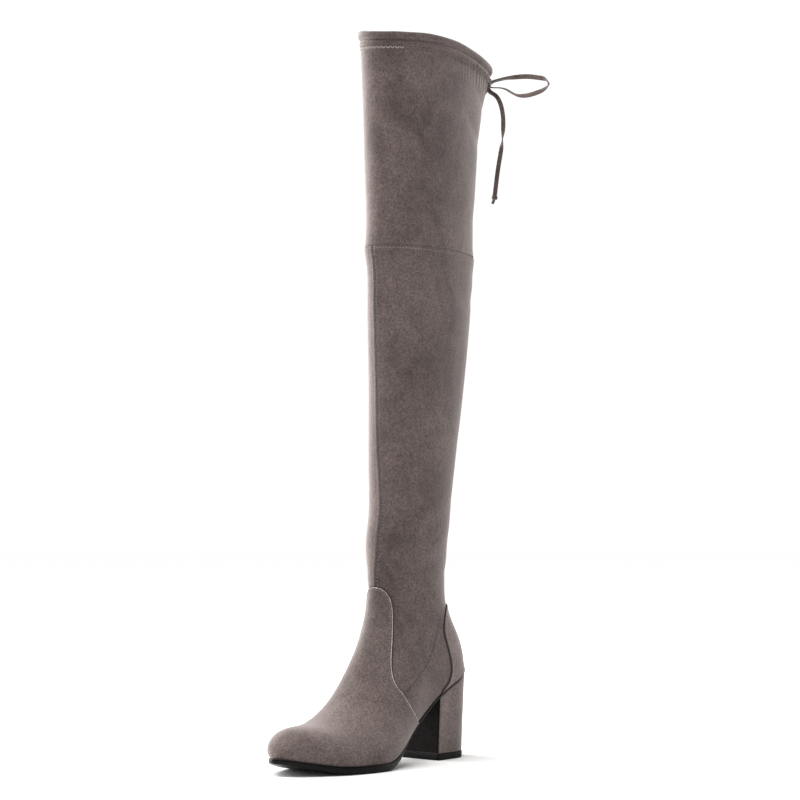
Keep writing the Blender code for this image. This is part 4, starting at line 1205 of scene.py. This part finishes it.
class Overlay:
    """A sheet cut from the face by its edge curve, with its cut edge as one line."""

    def __init__(self, surface, edge, behind):
        self.surface, self.edge, self.behind = surface, edge, behind
        grid = surface.grid
        self.width = grid.shape[1]
        self.near = surface.raised(CLEARANCE * 0.5).reshape(-1, 3)
        self.far = surface.raised(CLEARANCE + OVERLAY_THICKNESS).reshape(-1, 3)
        self.normals = surface.base_normals.reshape(-1, 3)
        self.field = covered(grid, edge, behind).reshape(-1)
        same = np.arange(len(self.near))
        last = np.arange(surface.foot_end, len(grid)) * self.width
        same[last + self.width - 1] = last
        same[: self.width] = 0
        quads = same[bands(grid)]
        inside = self.field[quads] > 0
        self.loops = [tuple(dict.fromkeys(q)) for q in quads[inside.all(1)].tolist()]
        self.crossings, self.places, self.cuts = {}, [], {}
        for quad in quads[inside.any(1) & ~inside.all(1)].tolist():
            self.clip(tuple(dict.fromkeys(quad)))

    def crossing(self, one, other):
        key = (min(one, other), max(one, other))
        if key not in self.crossings:
            share = self.field[key[0]] / (self.field[key[0]] - self.field[key[1]])
            share = min(max(share, 0.001), 0.999)
            self.crossings[key] = len(self.near) + len(self.places)
            self.places.append((*key, share))
        return self.crossings[key]

    def clip(self, quad):
        loop, marks = [], []
        for k, one in enumerate(quad):
            other = quad[(k + 1) % len(quad)]
            if self.field[one] > 0:
                loop.append(one)
            if (self.field[one] > 0) != (self.field[other] > 0):
                marks.append(self.crossing(one, other))
                loop.append(marks[-1])
        if len(loop) > 2:
            self.loops.append(tuple(loop))
        if len(marks) == 2:
            self.cuts.setdefault(marks[0], []).append(marks[1])
            self.cuts.setdefault(marks[1], []).append(marks[0])

    def with_crossings(self, values):
        if not self.places:
            return values
        one, other, share = (np.array(part) for part in zip(*self.places))
        cut = values[one] + (values[other] - values[one]) * share[:, None]
        return np.concatenate((values, cut))

    def cut_line(self, lift):
        """The cut edge from one sole edge to the other, at a share of the thickness, and its normals."""
        ends = sorted(key for key, near in self.cuts.items() if len(near) == 1)
        chain, before = [ends[0]], None
        while True:
            onward = [key for key in self.cuts[chain[-1]] if key != before]
            if not onward:
                break
            before = chain[-1]
            chain.append(onward[0])
        near, far, normals = (self.with_crossings(v)[chain] for v in (self.near, self.far, self.normals))
        path = near + (far - near) * lift
        run = run_of(path)
        where = np.linspace(0, run[-1], int(run[-1] / 0.0008))
        return eased(resampled(where, run, path), 6), unit(eased(resampled(where, run, normals), 6))

    def solid(self, name, finish):
        near, far = self.with_crossings(self.near), self.with_crossings(self.far)
        count = len(near)
        faces = list(self.loops) + [tuple(v + count for v in reversed(loop)) for loop in self.loops]
        sides = set()
        for loop in self.loops:
            for one, other in zip(loop, loop[1:] + loop[:1]):
                if (other, one) in sides:
                    sides.remove((other, one))
                else:
                    sides.add((one, other))
        faces += [(other, one, one + count, other + count) for one, other in sorted(sides)]
        made = make_piece(name, np.concatenate((far, near)), faces, finish, "suede", EDGE_ANGLE)
        return drop_loose(made)


# Kinds of stitch: length, distance from one to the next, the thread's radius, sway to the two sides
KNEE_STITCH = (0.0020, 0.0031, 0.00030, 0.0)
VAMP_STITCH = (0.0016, 0.0028, 0.00030, 0.0)
CASING_FRONT_STITCH = (0.0016, 0.0022, 0.00040, 0.0011)
CASING_STITCH = (0.0017, 0.0024, 0.00030, 0.0007)
QUARTER_STITCH = (0.0012, 0.0030, 0.00058, 0.0004)

# The front seam's thread: sway, period, radius, height over the seam
ZIGZAG = (0.0019, 0.0032, 0.00050, 0.00022)

# Where the rows lie: the knee's below its seam, the vamp's inside its edge and the edge's shadow outside it,
# and how far to either side of the front the casing stitches take the lighter thread of painted highlight
KNEE_STITCH_PLACE = -0.0023
VAMP_STITCH_INSET = 0.0019
SHADOW_OUTSET = 0.0012
FRONT_STITCH_REACH = 0.034

# Edges: half width and half height of the bead, and its place as a share of the overlay's thickness
VAMP_BEAD = (0.00050, 0.00062)
VAMP_BEAD_PLACE = 0.80
SHADOW_BEAD = (0.00066, 0.00050)
COUNTER_BEAD = (0.00118, 0.00074)
COUNTER_BEAD_PLACE = 0.40


def edge_bead(path, normals, side_radius, up_radius):
    """A rounded bead along a line: the vamp's folded edge, the dark strip of painted shadow beside it, and the
    counter's dark edge line.
    """
    turn = np.linspace(0, 2 * math.pi, 10, endpoint=False)
    profile = np.stack((np.cos(turn) * side_radius, np.sin(turn) * up_radius), 1)
    return tube(path, unit(np.cross(normals, tangents(path))), normals, profile)


def stitch_line(path, normals, length, pitch, radius, sway=0.0, skip=0.0):
    """Short thread stitches along a line, each a bowed capsule. sway sets their ends to the two sides."""
    run = run_of(path)
    side = unit(np.cross(normals, tangents(path)))

    def at(values, where):
        return np.array([np.interp(where, run, values[:, axis]) for axis in range(3)])

    ring = np.linspace(0, 2 * math.pi, 6, endpoint=False)
    parts = []
    place, flip = skip, 1
    while place + length < run[-1] - skip:
        shares = np.linspace(0, 1, 6)
        line, ups = [], []
        for share in shares:
            where = place + length * share
            line.append(at(path, where) + at(side, where) * sway * flip * (2 * share - 1))
            ups.append(at(normals, where))
        line, ups = np.array(line), unit(np.array(ups))
        bow = np.sin(shares * math.pi)
        line = line + ups * (radius * (1.1 * bow - 0.35))[:, None]
        across = unit(np.cross(ups, tangents(line)))
        size = radius * (0.45 + 0.55 * np.sqrt(bow))
        points = (
            line[:, None]
            + across[:, None] * (np.cos(ring)[None, :, None] * size[:, None, None])
            + ups[:, None] * (np.sin(ring)[None, :, None] * size[:, None, None])
        ).reshape(-1, 3)
        faces = [
            (i * 6 + k, i * 6 + (k + 1) % 6, (i + 1) * 6 + (k + 1) % 6, (i + 1) * 6 + k)
            for i in range(5)
            for k in range(6)
        ]
        faces += [tuple(reversed(range(6))), tuple(30 + k for k in range(6))]
        parts.append((points, faces))
        place += pitch
        flip = -flip if sway else 1
    return parts


def zigzag(surface, path, normals, sway, period, radius, lift):
    """One thread that runs from side to side over a seam."""
    run = run_of(path)
    side = unit(np.cross(normals, tangents(path)))
    where = np.arange(period, run[-1] - period, period / 6)
    wave = 2 * np.abs((where / period) % 1 * 2 - 1) - 1
    wave = np.sign(wave) * np.abs(wave) ** 0.8 * sway
    line = resampled(where, run, path) + wave[:, None] * resampled(where, run, side)
    line, ups = surface.settle(line)
    ups = unit(eased(ups, 2))
    line = line + ups * lift
    ring = np.linspace(0, 2 * math.pi, 6, endpoint=False)
    profile = np.stack((np.cos(ring), np.sin(ring)), 1) * radius
    return tube(line, unit(np.cross(ups, tangents(line))), ups, profile)


def nearest_row(surface, key, value):
    """The row round the leg whose fact comes nearest to a value."""
    return int(np.abs(surface.rows[key] - value).argmin())


# The dotted line from the overlay's corner up to the counter: share of ANKLE_HEIGHT, degrees as for the edges
QUARTER_LINE = (
    (0.393, 36.5),
    (0.467, 52.2),
    (0.541, 74.0),
    (0.632, 95.3),
    (0.720, 106.5),
    (0.842, 118.7),
)


def quarter_line(surface, side):
    rises, turns = np.array(QUARTER_LINE).T
    where = np.linspace(rises[0], rises[-1], 90)
    found = [surface.hit(r * ANKLE_HEIGHT, side * t) for r, t in zip(where, steady(rises, turns, where))]
    path = spaced(np.array([place for place, _ in found]), 0.001)
    return surface.settle(path)


def add_overlays(surface, front, back, dull_thread, shadow_and_dark_edge, highlight_edge):
    vamp = Overlay(surface, VAMP_EDGE, False)
    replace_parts(vamp.solid("vamp_suede", front), "vamp")
    path, normals = vamp.cut_line(VAMP_BEAD_PLACE)
    # The folded edge drawn in the light suede of painted highlight
    make_piece("vamp_edge", *edge_bead(path, normals, *VAMP_BEAD), highlight_edge, "suede")
    inward = unit(np.cross(normals, tangents(path)))
    middle = len(path) // 2
    if covered(path[middle] + inward[middle] * 0.002, VAMP_EDGE, False) < 0:
        inward = -inward
    # A dark strip of painted shadow just outside the vamp's edge
    outside, ups = surface.settle(path - inward * SHADOW_OUTSET, 0.0003)
    make_piece("vamp_shadow_edge", *edge_bead(outside, unit(eased(ups, 3)), *SHADOW_BEAD), shadow_and_dark_edge)
    line, ups = lay_on(vamp.far, surface, path + inward * VAMP_STITCH_INSET)
    parts = stitch_line(line, ups, *VAMP_STITCH, skip=0.004)
    make_piece("vamp_stitches", *join_parts(parts), dull_thread)

    counter = Overlay(surface, HEEL_EDGE, True)
    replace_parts(counter.solid("counter_suede", back), "heel_counter")
    path, normals = counter.cut_line(COUNTER_BEAD_PLACE)
    # The counter's edge drawn as a near-black line
    make_piece("counter_edge", *edge_bead(path, normals, *COUNTER_BEAD), shadow_and_dark_edge, "suede")


def lay_on(points, surface, line):
    """The line laid on an overlay's face."""
    return nearest(BVHTree.FromPolygons(points.tolist(), bands(surface.grid).tolist()), line)


def add_seams(surface, highlight_thread, dull_thread, dark_thread):
    row = nearest_row(surface, "from_knee", KNEE_STITCH_PLACE)
    ups = surface.base_normals[row]
    stitches = stitch_line(surface.shown[row] - ups * 0.0001, ups, *KNEE_STITCH)
    make_piece("knee_stitches", *join_parts(stitches), dull_thread)
    row = nearest_row(surface, "below_top", STITCH_LINE)
    ups = surface.base_normals[row]
    casing = surface.shown[row] + ups * 0.0008
    ahead = np.flatnonzero(np.abs(surface.facts["front_arc"][row]) < FRONT_STITCH_REACH)
    first, last = ahead[0], ahead[-1] + 1
    # The front stretch of the casing's stitches in the lighter thread of painted highlight
    front = stitch_line(casing[first:last], ups[first:last], *CASING_FRONT_STITCH)
    make_piece("casing_stitches_front", *join_parts(front), highlight_thread)
    parts = stitch_line(casing[: first + 1], ups[: first + 1], *CASING_STITCH)
    parts += stitch_line(casing[last - 1 :], ups[last - 1 :], *CASING_STITCH)
    make_piece("casing_stitches", *join_parts(parts), dull_thread)
    front, ups = front_seam_line(surface)
    make_piece("front_zigzag", *zigzag(surface, front, ups, *ZIGZAG), dark_thread)
    parts = []
    for side in (1, -1):
        path, normals = quarter_line(surface, side)
        parts += stitch_line(path + normals * 0.0002, normals, *QUARTER_STITCH, skip=0.003)
    make_piece("quarter_stitches", *join_parts(parts), dark_thread)


def front_seam_line(surface):
    """The seam up the front, from the vamp's top to the knee seam."""
    middle = surface.grid.shape[1] // 2
    heights = surface.grid[:, middle, 2]
    low = VAMP_EDGE[-1][0] * ANKLE_HEIGHT + 0.0012
    line, ups = [], []
    for i in np.flatnonzero((heights > low) & (surface.rows["from_knee"] < -0.0012)):
        arcs = surface.facts["front_arc"][i, ::-1]
        arc = seam_arc(heights[i])
        line.append([np.interp(arc, arcs, surface.shown[i, ::-1, axis]) for axis in range(3)])
        ups.append([np.interp(arc, arcs, surface.base_normals[i, ::-1, axis]) for axis in range(3)])
    return np.array(line), unit(np.array(ups))


# Sole, insole and heel

# Levels of the solids that are stacked from loops: share of the height (metres for the top piece), and how
# far the loop is drawn in (a share of its distance from its middle for the heel, otherwise metres)
SOLE_EDGE = (
    (0.0, 0.0017),
    (0.03, 0.0010),
    (0.10, 0.0004),
    (0.28, 0.0001),
    (0.80, 0.0),
    (0.94, 0.0002),
    (1.0, 0.0006),
)
INSOLE_EDGE = ((0.0, 0.0), (0.75, 0.0), (1.0, 0.0006))
HEEL_LEVELS = (
    (0.0, 0.02),
    (0.006, 0.006),
    (0.018, 0.0),
    *((share, 0.0) for share in np.linspace(0.06, 0.97, 26)),
    (1.0, 0.008),
)
TOP_PIECE_LEVELS = (
    (0.0, 0.0010),
    (0.0002, 0.0005),
    (0.0008, 0.0),
    (0.0056, 0.0),
    (0.0060, 0.0002),
    (0.0062, 0.0006),
)


def stack_sides(layers):
    """The faces between closed loops stacked upwards."""
    count = len(layers[0])
    faces = []
    for low in range(0, (len(layers) - 1) * count, count):
        high = low + count
        for i in range(count):
            after = (i + 1) % count
            faces.append((low + i, high + i, high + after, low + after))
    return faces


def layered(layers, has_tip):
    """A solid from closed loops stacked upwards, its ends filled by strips straight across the shoe."""
    count = len(layers[0])
    faces = stack_sides(layers)
    rungs = (count - 2) // 2 if has_tip else (count - 1) // 2
    top = (len(layers) - 1) * count
    for i in range(rungs):
        strip = [i, i + 1, count - i - 1, (count - i) % count] if i else [0, 1, count - 1]
        faces.append(tuple(reversed(strip)))
        faces.append(tuple(top + number for number in strip))
    if has_tip:
        strip = [rungs, rungs + 1, rungs + 2]
        faces.append(tuple(reversed(strip)))
        faces.append(tuple(top + number for number in strip))
    return np.concatenate(layers), faces


def add_sole(finish, lining):
    layers = []
    for share, drawn_in in SOLE_EDGE:
        loop = outline_loop(1, SOLE_ROWS, lambda along: sole_margin(along) - drawn_in)
        under, top = sole_heights(y_to_along(loop[:, 1]))
        layers.append(with_height(loop, under + (top - under) * share))
    made = make_piece("outsole_black", *turned_out(*layered(layers, True)), finish, "sole_black", EDGE_ANGLE)
    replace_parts(made, "outsole")
    layers = []
    for share, drawn_in in INSOLE_EDGE:
        loop = outline_loop(1, SOLE_ROWS, lambda along: along * 0 - FOOT_WALL - INSOLE_CLEARANCE - drawn_in)
        floor = sole_heights(y_to_along(loop[:, 1]))[1] + CLEARANCE
        layers.append(with_height(loop, floor + INSOLE_THICKNESS * share))
    made = make_piece("insole_sock", *turned_out(*layered(layers, True)), lining, "insole_lining", EDGE_ANGLE)
    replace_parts(made, "insole")


def turned_out(points, faces):
    """Points and faces with the faces' normals recalculated outwards."""
    mesh = bmesh.new()
    made = [mesh.verts.new(point) for point in points]
    for face in faces:
        mesh.faces.new([made[v] for v in face])
    bmesh.ops.recalc_face_normals(mesh, faces=mesh.faces)
    mesh.verts.index_update()
    turned = [tuple(v.index for v in face.verts) for face in mesh.faces]
    mesh.free()
    return points, turned


def rounded_loops():
    """The heel's loops, evenly spaced and with their breast corners rounded."""
    seat, foot = heel_loops()
    closed = [np.concatenate((loop, loop[:1])) for loop in (seat, foot)]
    run = np.append(0.0, np.cumsum(np.linalg.norm(np.diff(closed[0], axis=0), axis=1)))
    where = np.linspace(0, run[-1], 260, endpoint=False)
    made = []
    for loop in closed:
        even = np.stack([np.interp(where, run, loop[:, axis]) for axis in range(2)], 1)
        for _ in range(4):
            even = (np.roll(even, 1, 0) + 2 * even + np.roll(even, -1, 0)) / 4
        made.append(even)
    return made


def stacked(layers):
    """A solid from loops stacked upwards with a fan at each end."""
    count = len(layers[0])
    points = np.concatenate(layers + [layers[0].mean(0)[None], layers[-1].mean(0)[None]])
    faces = stack_sides(layers)
    low, top = len(layers) * count, (len(layers) - 1) * count
    for i in range(count):
        after = (i + 1) % count
        faces.append((i, after, low))
        faces.append((top + after, top + i, low + 1))
    return turned_out(points, faces)


def add_heel(finish, breast, rubber):
    seat, foot = rounded_loops()
    under = sole_heights(y_to_along(seat[:, 1]))[0] - CLEARANCE
    base = TOP_PIECE_THICKNESS + CLEARANCE
    layers = []
    for share, drawn_in in HEEL_LEVELS:
        loop = foot + (seat - foot) * share**HEEL_TAPER
        loop = loop + (loop.mean(0) - loop) * drawn_in
        layers.append(with_height(loop, base + (under - base) * share))
    made = make_piece("heel_suede", *stacked(layers), finish, "suede", EDGE_ANGLE)
    made.data.materials.append(breast)
    front = np.array([p.normal.y < -0.8 and abs(p.normal.z) < 0.5 for p in made.data.polygons])
    made.data.polygons.foreach_set("material_index", front.astype(np.int32))
    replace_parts(made, "heel_block")
    grown = foot * (1 + 2 * TOP_PIECE_MARGIN / HEEL_FOOT_WIDTH)
    layers = []
    for height, drawn_in in TOP_PIECE_LEVELS:
        layers.append(with_height(grown * (1 - 2 * drawn_in / HEEL_FOOT_WIDTH), height))
    made = make_piece("top_piece_rubber", *stacked(layers), rubber, "heel_rubber", EDGE_ANGLE)
    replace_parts(made, "top_piece")


# Tie

# How the flat lace is turned along its length: share of it, and degrees from standing on its edge
LOOP_TURNS = (
    (0.0, 84.0),
    (0.12, 76.0),
    (0.22, 40.0),
    (0.32, 22.0),
    (0.42, 30.0),
    (0.485, 78.0),
    (0.54, 30.0),
    (0.62, 8.0),
    (0.71, 30.0),
    (0.79, 80.0),
    (1.0, 84.0),
)
TAIL_TURNS = (
    (0.0, 70.0),
    (0.12, 54.0),
    (0.38, 48.0),
    (0.51, -35.0),
    (0.64, -124.0),
    (1.0, -132.0),
)


def knot_place(grid):
    back = grid[grid[:, 0, 2] > KNEE_HEIGHT, 0]
    height = COLLAR_HEIGHT - TIE_DROP
    ends = (height - KNOT_HEIGHT / 2, height + KNOT_HEIGHT / 2)
    y = np.interp(ends, back[:, 2], back[:, 1]).max()
    return np.array((0.0, y + CASING_STEP + CLEARANCE + KNOT_DEPTH / 2, height))


def lace_line(route):
    route = np.array(route)
    knots = run_of(route)
    where = np.linspace(0, knots[-1], int(knots[-1] / 0.0009))
    return np.stack([flowing(knots, route[:, axis], where) for axis in range(3)], 1)


def lace_profile(width, thickness):
    """A flat band with rounded edges."""
    turn = np.linspace(0, 2 * math.pi, 14, endpoint=False)
    out, up = np.cos(turn), np.sin(turn)
    return np.stack(
        (np.sign(out) * np.abs(out) ** 0.55 * width / 2, np.sign(up) * np.abs(up) ** 0.75 * thickness / 2), 1
    )


def band(line, turns, width=LACE_WIDTH, thickness=LACE_THICKNESS):
    """A flat lace along a line, turned about it as the table says."""
    ahead = tangents(line)
    share = run_of(line) / run_of(line)[-1]
    angle = np.radians(steady(*np.array(turns).T, share))
    across = np.zeros_like(ahead)
    guess = np.array((0.0, 0.0, 1.0)) if abs(ahead[0, 2]) < 0.8 else np.array((0.0, 1.0, 0.0))
    for i, way in enumerate(ahead):
        guess = guess - way * (guess @ way)
        guess = guess / np.linalg.norm(guess)
        across[i] = guess
    up = np.cross(ahead, across)
    side = across * np.cos(angle)[:, None] + up * np.sin(angle)[:, None]
    return tube(line, side, np.cross(ahead, side), lace_profile(width, thickness))


def wrap(centre, one, other, width, thickness):
    """A closed flat ring of lace: one and other are its two half axes."""
    turn = np.linspace(0, 2 * math.pi, 28, endpoint=False)
    line = centre + np.cos(turn)[:, None] * one + np.sin(turn)[:, None] * other
    ahead = tangents(line, closed=True)
    out = unit(line - centre)
    out = unit(out - ahead * (out * ahead).sum(1)[:, None])
    return tube(line, np.cross(ahead, out), out, lace_profile(width, thickness), closed=True)


def pebble(centre, radii, ridges, phase):
    """A small lumpy round core."""
    lat = np.linspace(0, math.pi, 13)[1:-1]
    lon = np.linspace(0, 2 * math.pi, 20, endpoint=False)
    points = [centre + np.array((0, 0, radii[2]))]
    for a in lat:
        for b in lon:
            size = 1 + 0.07 * math.sin(ridges * b + phase + 3 * a)
            way = np.array((math.sin(a) * math.cos(b), math.sin(a) * math.sin(b), math.cos(a)))
            points.append(centre + way * radii * size)
    points.append(centre - np.array((0, 0, radii[2])))
    faces, count, end = [], len(lon), len(points) - 1
    for k in range(count):
        faces.append((0, 1 + k, 1 + (k + 1) % count))
        faces.append((end, end - count + (k + 1) % count, end - count + k))
        for i in range(len(lat) - 1):
            a, b = 1 + i * count, 1 + (i + 1) * count
            faces.append((a + k, b + k, b + (k + 1) % count, a + (k + 1) % count))
    return points, faces


def add_tie(surface, finish):
    knot = knot_place(surface.grid)
    start = np.array(LOOP_ROUTE[0])
    short_loop = [start + (np.array(point) - start) * INNER_LOOP_SHARE for point in LOOP_ROUTE[:-1]]
    short_loop.append(LOOP_ROUTE[-1])
    core = np.array((KNOT_WIDTH * 0.36, KNOT_DEPTH * 0.32, KNOT_HEIGHT * 0.32))
    parts = [pebble(knot, core, 3, 0.4)]
    across, upwards = np.array((0.0009, KNOT_DEPTH * 0.38, 0.0)), np.array((0.0, 0.0, KNOT_HEIGHT * 0.37))
    parts.append(wrap(knot, across, upwards, *KNOT_BAND))
    for side in (1, -1):
        mouth = knot + np.array((side * 0.0085, -KNOT_DEPTH / 2 - 0.0030, 0.0035))
        stub = lace_line((mouth, (mouth + knot) / 2 + np.array((side * 0.001, 0.0016, 0.0006)), knot))
        parts.append(band(stub, ((0.0, 10.0), (1.0, 60.0)), LACE_WIDTH * 0.85))
    centre_piece = make_piece("tie_centre", *join_parts(parts), finish, "suede_lace", LACE_ANGLE)
    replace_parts(centre_piece, "tie_knot")
    halves = (("outer", 1, LOOP_ROUTE, OUTER_TAIL_ROUTE), ("inner", -1, short_loop, INNER_TAIL_ROUTE))
    for side, sign, loop, tail in halves:
        mirror = np.array((sign, 1.0, 1.0))
        ends = [knot + mirror * KNOT_REACH * np.array(loop[k]) for k in (0, -1)]
        line = lace_line([ends[0], *(knot + mirror * np.array(point) for point in loop), ends[1]])
        made = make_piece(f"lace_loop_{side}", *band(line, LOOP_TURNS), finish, "suede_lace", LACE_ANGLE)
        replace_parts(made, f"tie_loop_{side}")
        start_in_knot = knot + mirror * KNOT_REACH * np.array(tail[0])
        line = lace_line([start_in_knot, *(knot + mirror * np.array(point) for point in tail)])
        way = tangents(line)[-1]
        centre = line[-1] + way * (END_KNOT_SIZE / 2 + CLEARANCE)
        line = np.concatenate((line, [line[-1] + way * 0.0012, centre - way * 0.0006]))
        parts = end_knot(centre, way)
        end = make_piece(f"lace_end_{side}", *join_parts(parts), finish, "suede_lace", LACE_ANGLE)
        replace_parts(end, f"tie_end_knot_{side}")
        strand = band(line, TAIL_TURNS, TAIL_WIDTH)
        made = make_piece(f"lace_tail_{side}", *strand, finish, "suede_lace", LACE_ANGLE)
        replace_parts(made, f"tie_tail_{side}")


def end_knot(centre, way):
    """The small tight knot that ends a tail, with the lace's tip below it."""
    size = END_KNOT_SIZE / 2
    across = unit(np.cross(way, (0.0, 1.0, 0.0)))
    third = np.cross(way, across)
    parts = [pebble(centre, np.array((size * 0.72, size * 0.72, size * 0.85)), 3, 1.1)]
    for tilt in (0.55, -0.6):
        one = (across * math.cos(tilt) + way * math.sin(tilt)) * size * 0.86
        parts.append(wrap(centre, one, third * size * 0.86, 0.0021, 0.0009))
    middle, end = centre + way * 0.0028 - across * 0.0006, centre + way * 0.0062 - across * 0.0020
    tip = lace_line((centre, middle, end))
    parts.append(band(tip, ((0.0, 20.0), (1.0, 60.0)), LACE_WIDTH * 0.6))
    return parts


# Stage

def add_camera():
    azimuth, pitch = math.radians(CAMERA_AZIMUTH), math.radians(CAMERA_PITCH)
    way = Vector((-math.sin(azimuth) * math.cos(pitch), math.cos(azimuth) * math.cos(pitch), math.sin(pitch)))
    data = bpy.data.cameras.new("camera")
    data.sensor_width = SENSOR_MM
    data.lens = CAMERA_FOCAL_PX * SENSOR_MM / FRAME_PX
    data.shift_x, data.shift_y = CAMERA_SHIFT
    camera = bpy.data.objects.new("camera", data)
    camera.location = CAMERA_PLACE
    camera.rotation_euler = way.to_track_quat("-Z", "Y").to_euler()
    bpy.context.scene.collection.objects.link(camera)
    bpy.context.scene.camera = camera


def add_area(name, place, target, size, power, colour):
    data = bpy.data.lights.new(name, "AREA")
    data.shape = "RECTANGLE"
    data.size, data.size_y = size
    data.energy = power
    data.color = colour
    light = bpy.data.objects.new(name, data)
    light.location = place
    light.rotation_euler = (Vector(target) - Vector(place)).to_track_quat("-Z", "Y").to_euler()
    bpy.context.scene.collection.objects.link(light)


# The floor's own glow, which keeps it white far off: from and to (metres from the boot), least and most
FLOOR_GLOW = (0.35, 1.60, 0.0, 0.55)


def add_stage():
    mesh = bpy.data.meshes.new("floor")
    far = FLOOR_REACH
    mesh.from_pydata([(-far, -far, 0), (far, -far, 0), (far, far, 0), (-far, far, 0)], [], [(0, 1, 2, 3)])
    floor = bpy.data.objects.new("floor", mesh)
    bpy.context.scene.collection.objects.link(floor)
    finish, shader = new_material("floor", (0.93, 0.93, 0.93), 0.5, Specular_IOR_Level=0.2)
    tree = finish.node_tree
    away = tree.nodes.new("ShaderNodeVectorMath")
    away.operation = "LENGTH"
    tree.links.new(tree.nodes.new("ShaderNodeTexCoord").outputs["Object"], away.inputs[0])
    glow = tree.nodes.new("ShaderNodeMapRange")
    for socket, value in zip(("From Min", "From Max", "To Min", "To Max"), FLOOR_GLOW):
        glow.inputs[socket].default_value = value
    shader.inputs["Emission Color"].default_value = (1.0, 1.0, 1.0, 1.0)
    tree.links.new(away.outputs["Value"], glow.inputs["Value"])
    tree.links.new(glow.outputs["Result"], shader.inputs["Emission Strength"])
    mesh.materials.append(finish)
    world = bpy.data.worlds.new("world")
    bpy.context.scene.world = world
    world.use_nodes = True
    nodes, links = world.node_tree.nodes, world.node_tree.links
    back = nodes["Background"]
    back.inputs["Color"].default_value = (1.0, 1.0, 1.0, 1.0)
    back.inputs["Strength"].default_value = WORLD_LIGHT
    seen = nodes.new("ShaderNodeBackground")
    seen.inputs["Color"].default_value = (1.0, 1.0, 1.0, 1.0)
    seen.inputs["Strength"].default_value = WORLD_SEEN
    path = nodes.new("ShaderNodeLightPath")
    both = nodes.new("ShaderNodeMixShader")
    links.new(path.outputs["Is Camera Ray"], both.inputs["Fac"])
    links.new(back.outputs[0], both.inputs[1])
    links.new(seen.outputs[0], both.inputs[2])
    links.new(both.outputs[0], nodes["World Output"].inputs["Surface"])
    for lamp in LAMPS:
        add_area(*lamp)
    bpy.context.scene.view_settings.view_transform = "Standard"


surface = Surface()
add_camera()
suede_main = suede("suede", (0.0900, 0.0696, 0.0655))
# Lighter copy of the main suede for the vamp: painted light where light falls on the toe and instep
suede_vamp_painted_light = suede("suede_vamp_painted_light", (0.0980, 0.0765, 0.0718))
# Lighter copy of the main suede for the counter and the heel block: painted light from the rim lamp on that
# side
suede_heel_painted_light = suede("suede_heel_painted_light", (0.1330, 0.1055, 0.0992))
suede_tie = suede("suede_lace", (0.105, 0.080, 0.074), nap=0.8)
# The vamp's folded edge in a suede far lighter than the rest: a painted highlight along the edge
edge_painted_highlight = suede("suede_folded_edge_painted_highlight", (0.330, 0.285, 0.255), nap=0.5)
# Near black: a strip of painted shadow just outside the vamp's edge, and the dark line along the counter's
# edge
edge_dark_and_painted_shadow, _ = new_material("dark_edge_and_painted_shadow", (0.020, 0.014, 0.012), 0.85)
# Lighter copy of the casing's thread for its front stretch: painted highlight where light falls on the front
thread_painted_highlight = thread("thread_painted_highlight", (0.400, 0.345, 0.310))
thread_dull = thread("thread_dull", (0.190, 0.155, 0.140))
thread_dark = thread("thread_dark", (0.028, 0.020, 0.018))
lining = knit_lining("lining", (0.215, 0.180, 0.160))
insole_lining = knit_lining("insole_lining", (0.30, 0.25, 0.21))
sole_black = smooth_black("sole_black", (0.0022, 0.0024, 0.0022), 0.34, 1.0, 0.09)
heel_rubber = smooth_black("heel_rubber", (0.0048, 0.0045, 0.0042), 0.60, 1.4, 0.10)
# The heel's breast is drawn near black, darker than the suede of the block
breast_near_black = smooth_black("breast_near_black", (0.0058, 0.0048, 0.0045), 0.70, 1.2, 0.08)

add_tie(surface, suede_tie)
upper_shell(surface, suede_main, lining)
add_overlays(surface, suede_vamp_painted_light, suede_heel_painted_light, thread_dull, edge_dark_and_painted_shadow, edge_painted_highlight)
collar_pleats(surface, suede_main)
add_seams(surface, thread_painted_highlight, thread_dull, thread_dark)
add_sole(sole_black, insole_lining)
add_heel(suede_heel_painted_light, breast_near_black, heel_rubber)
add_stage()
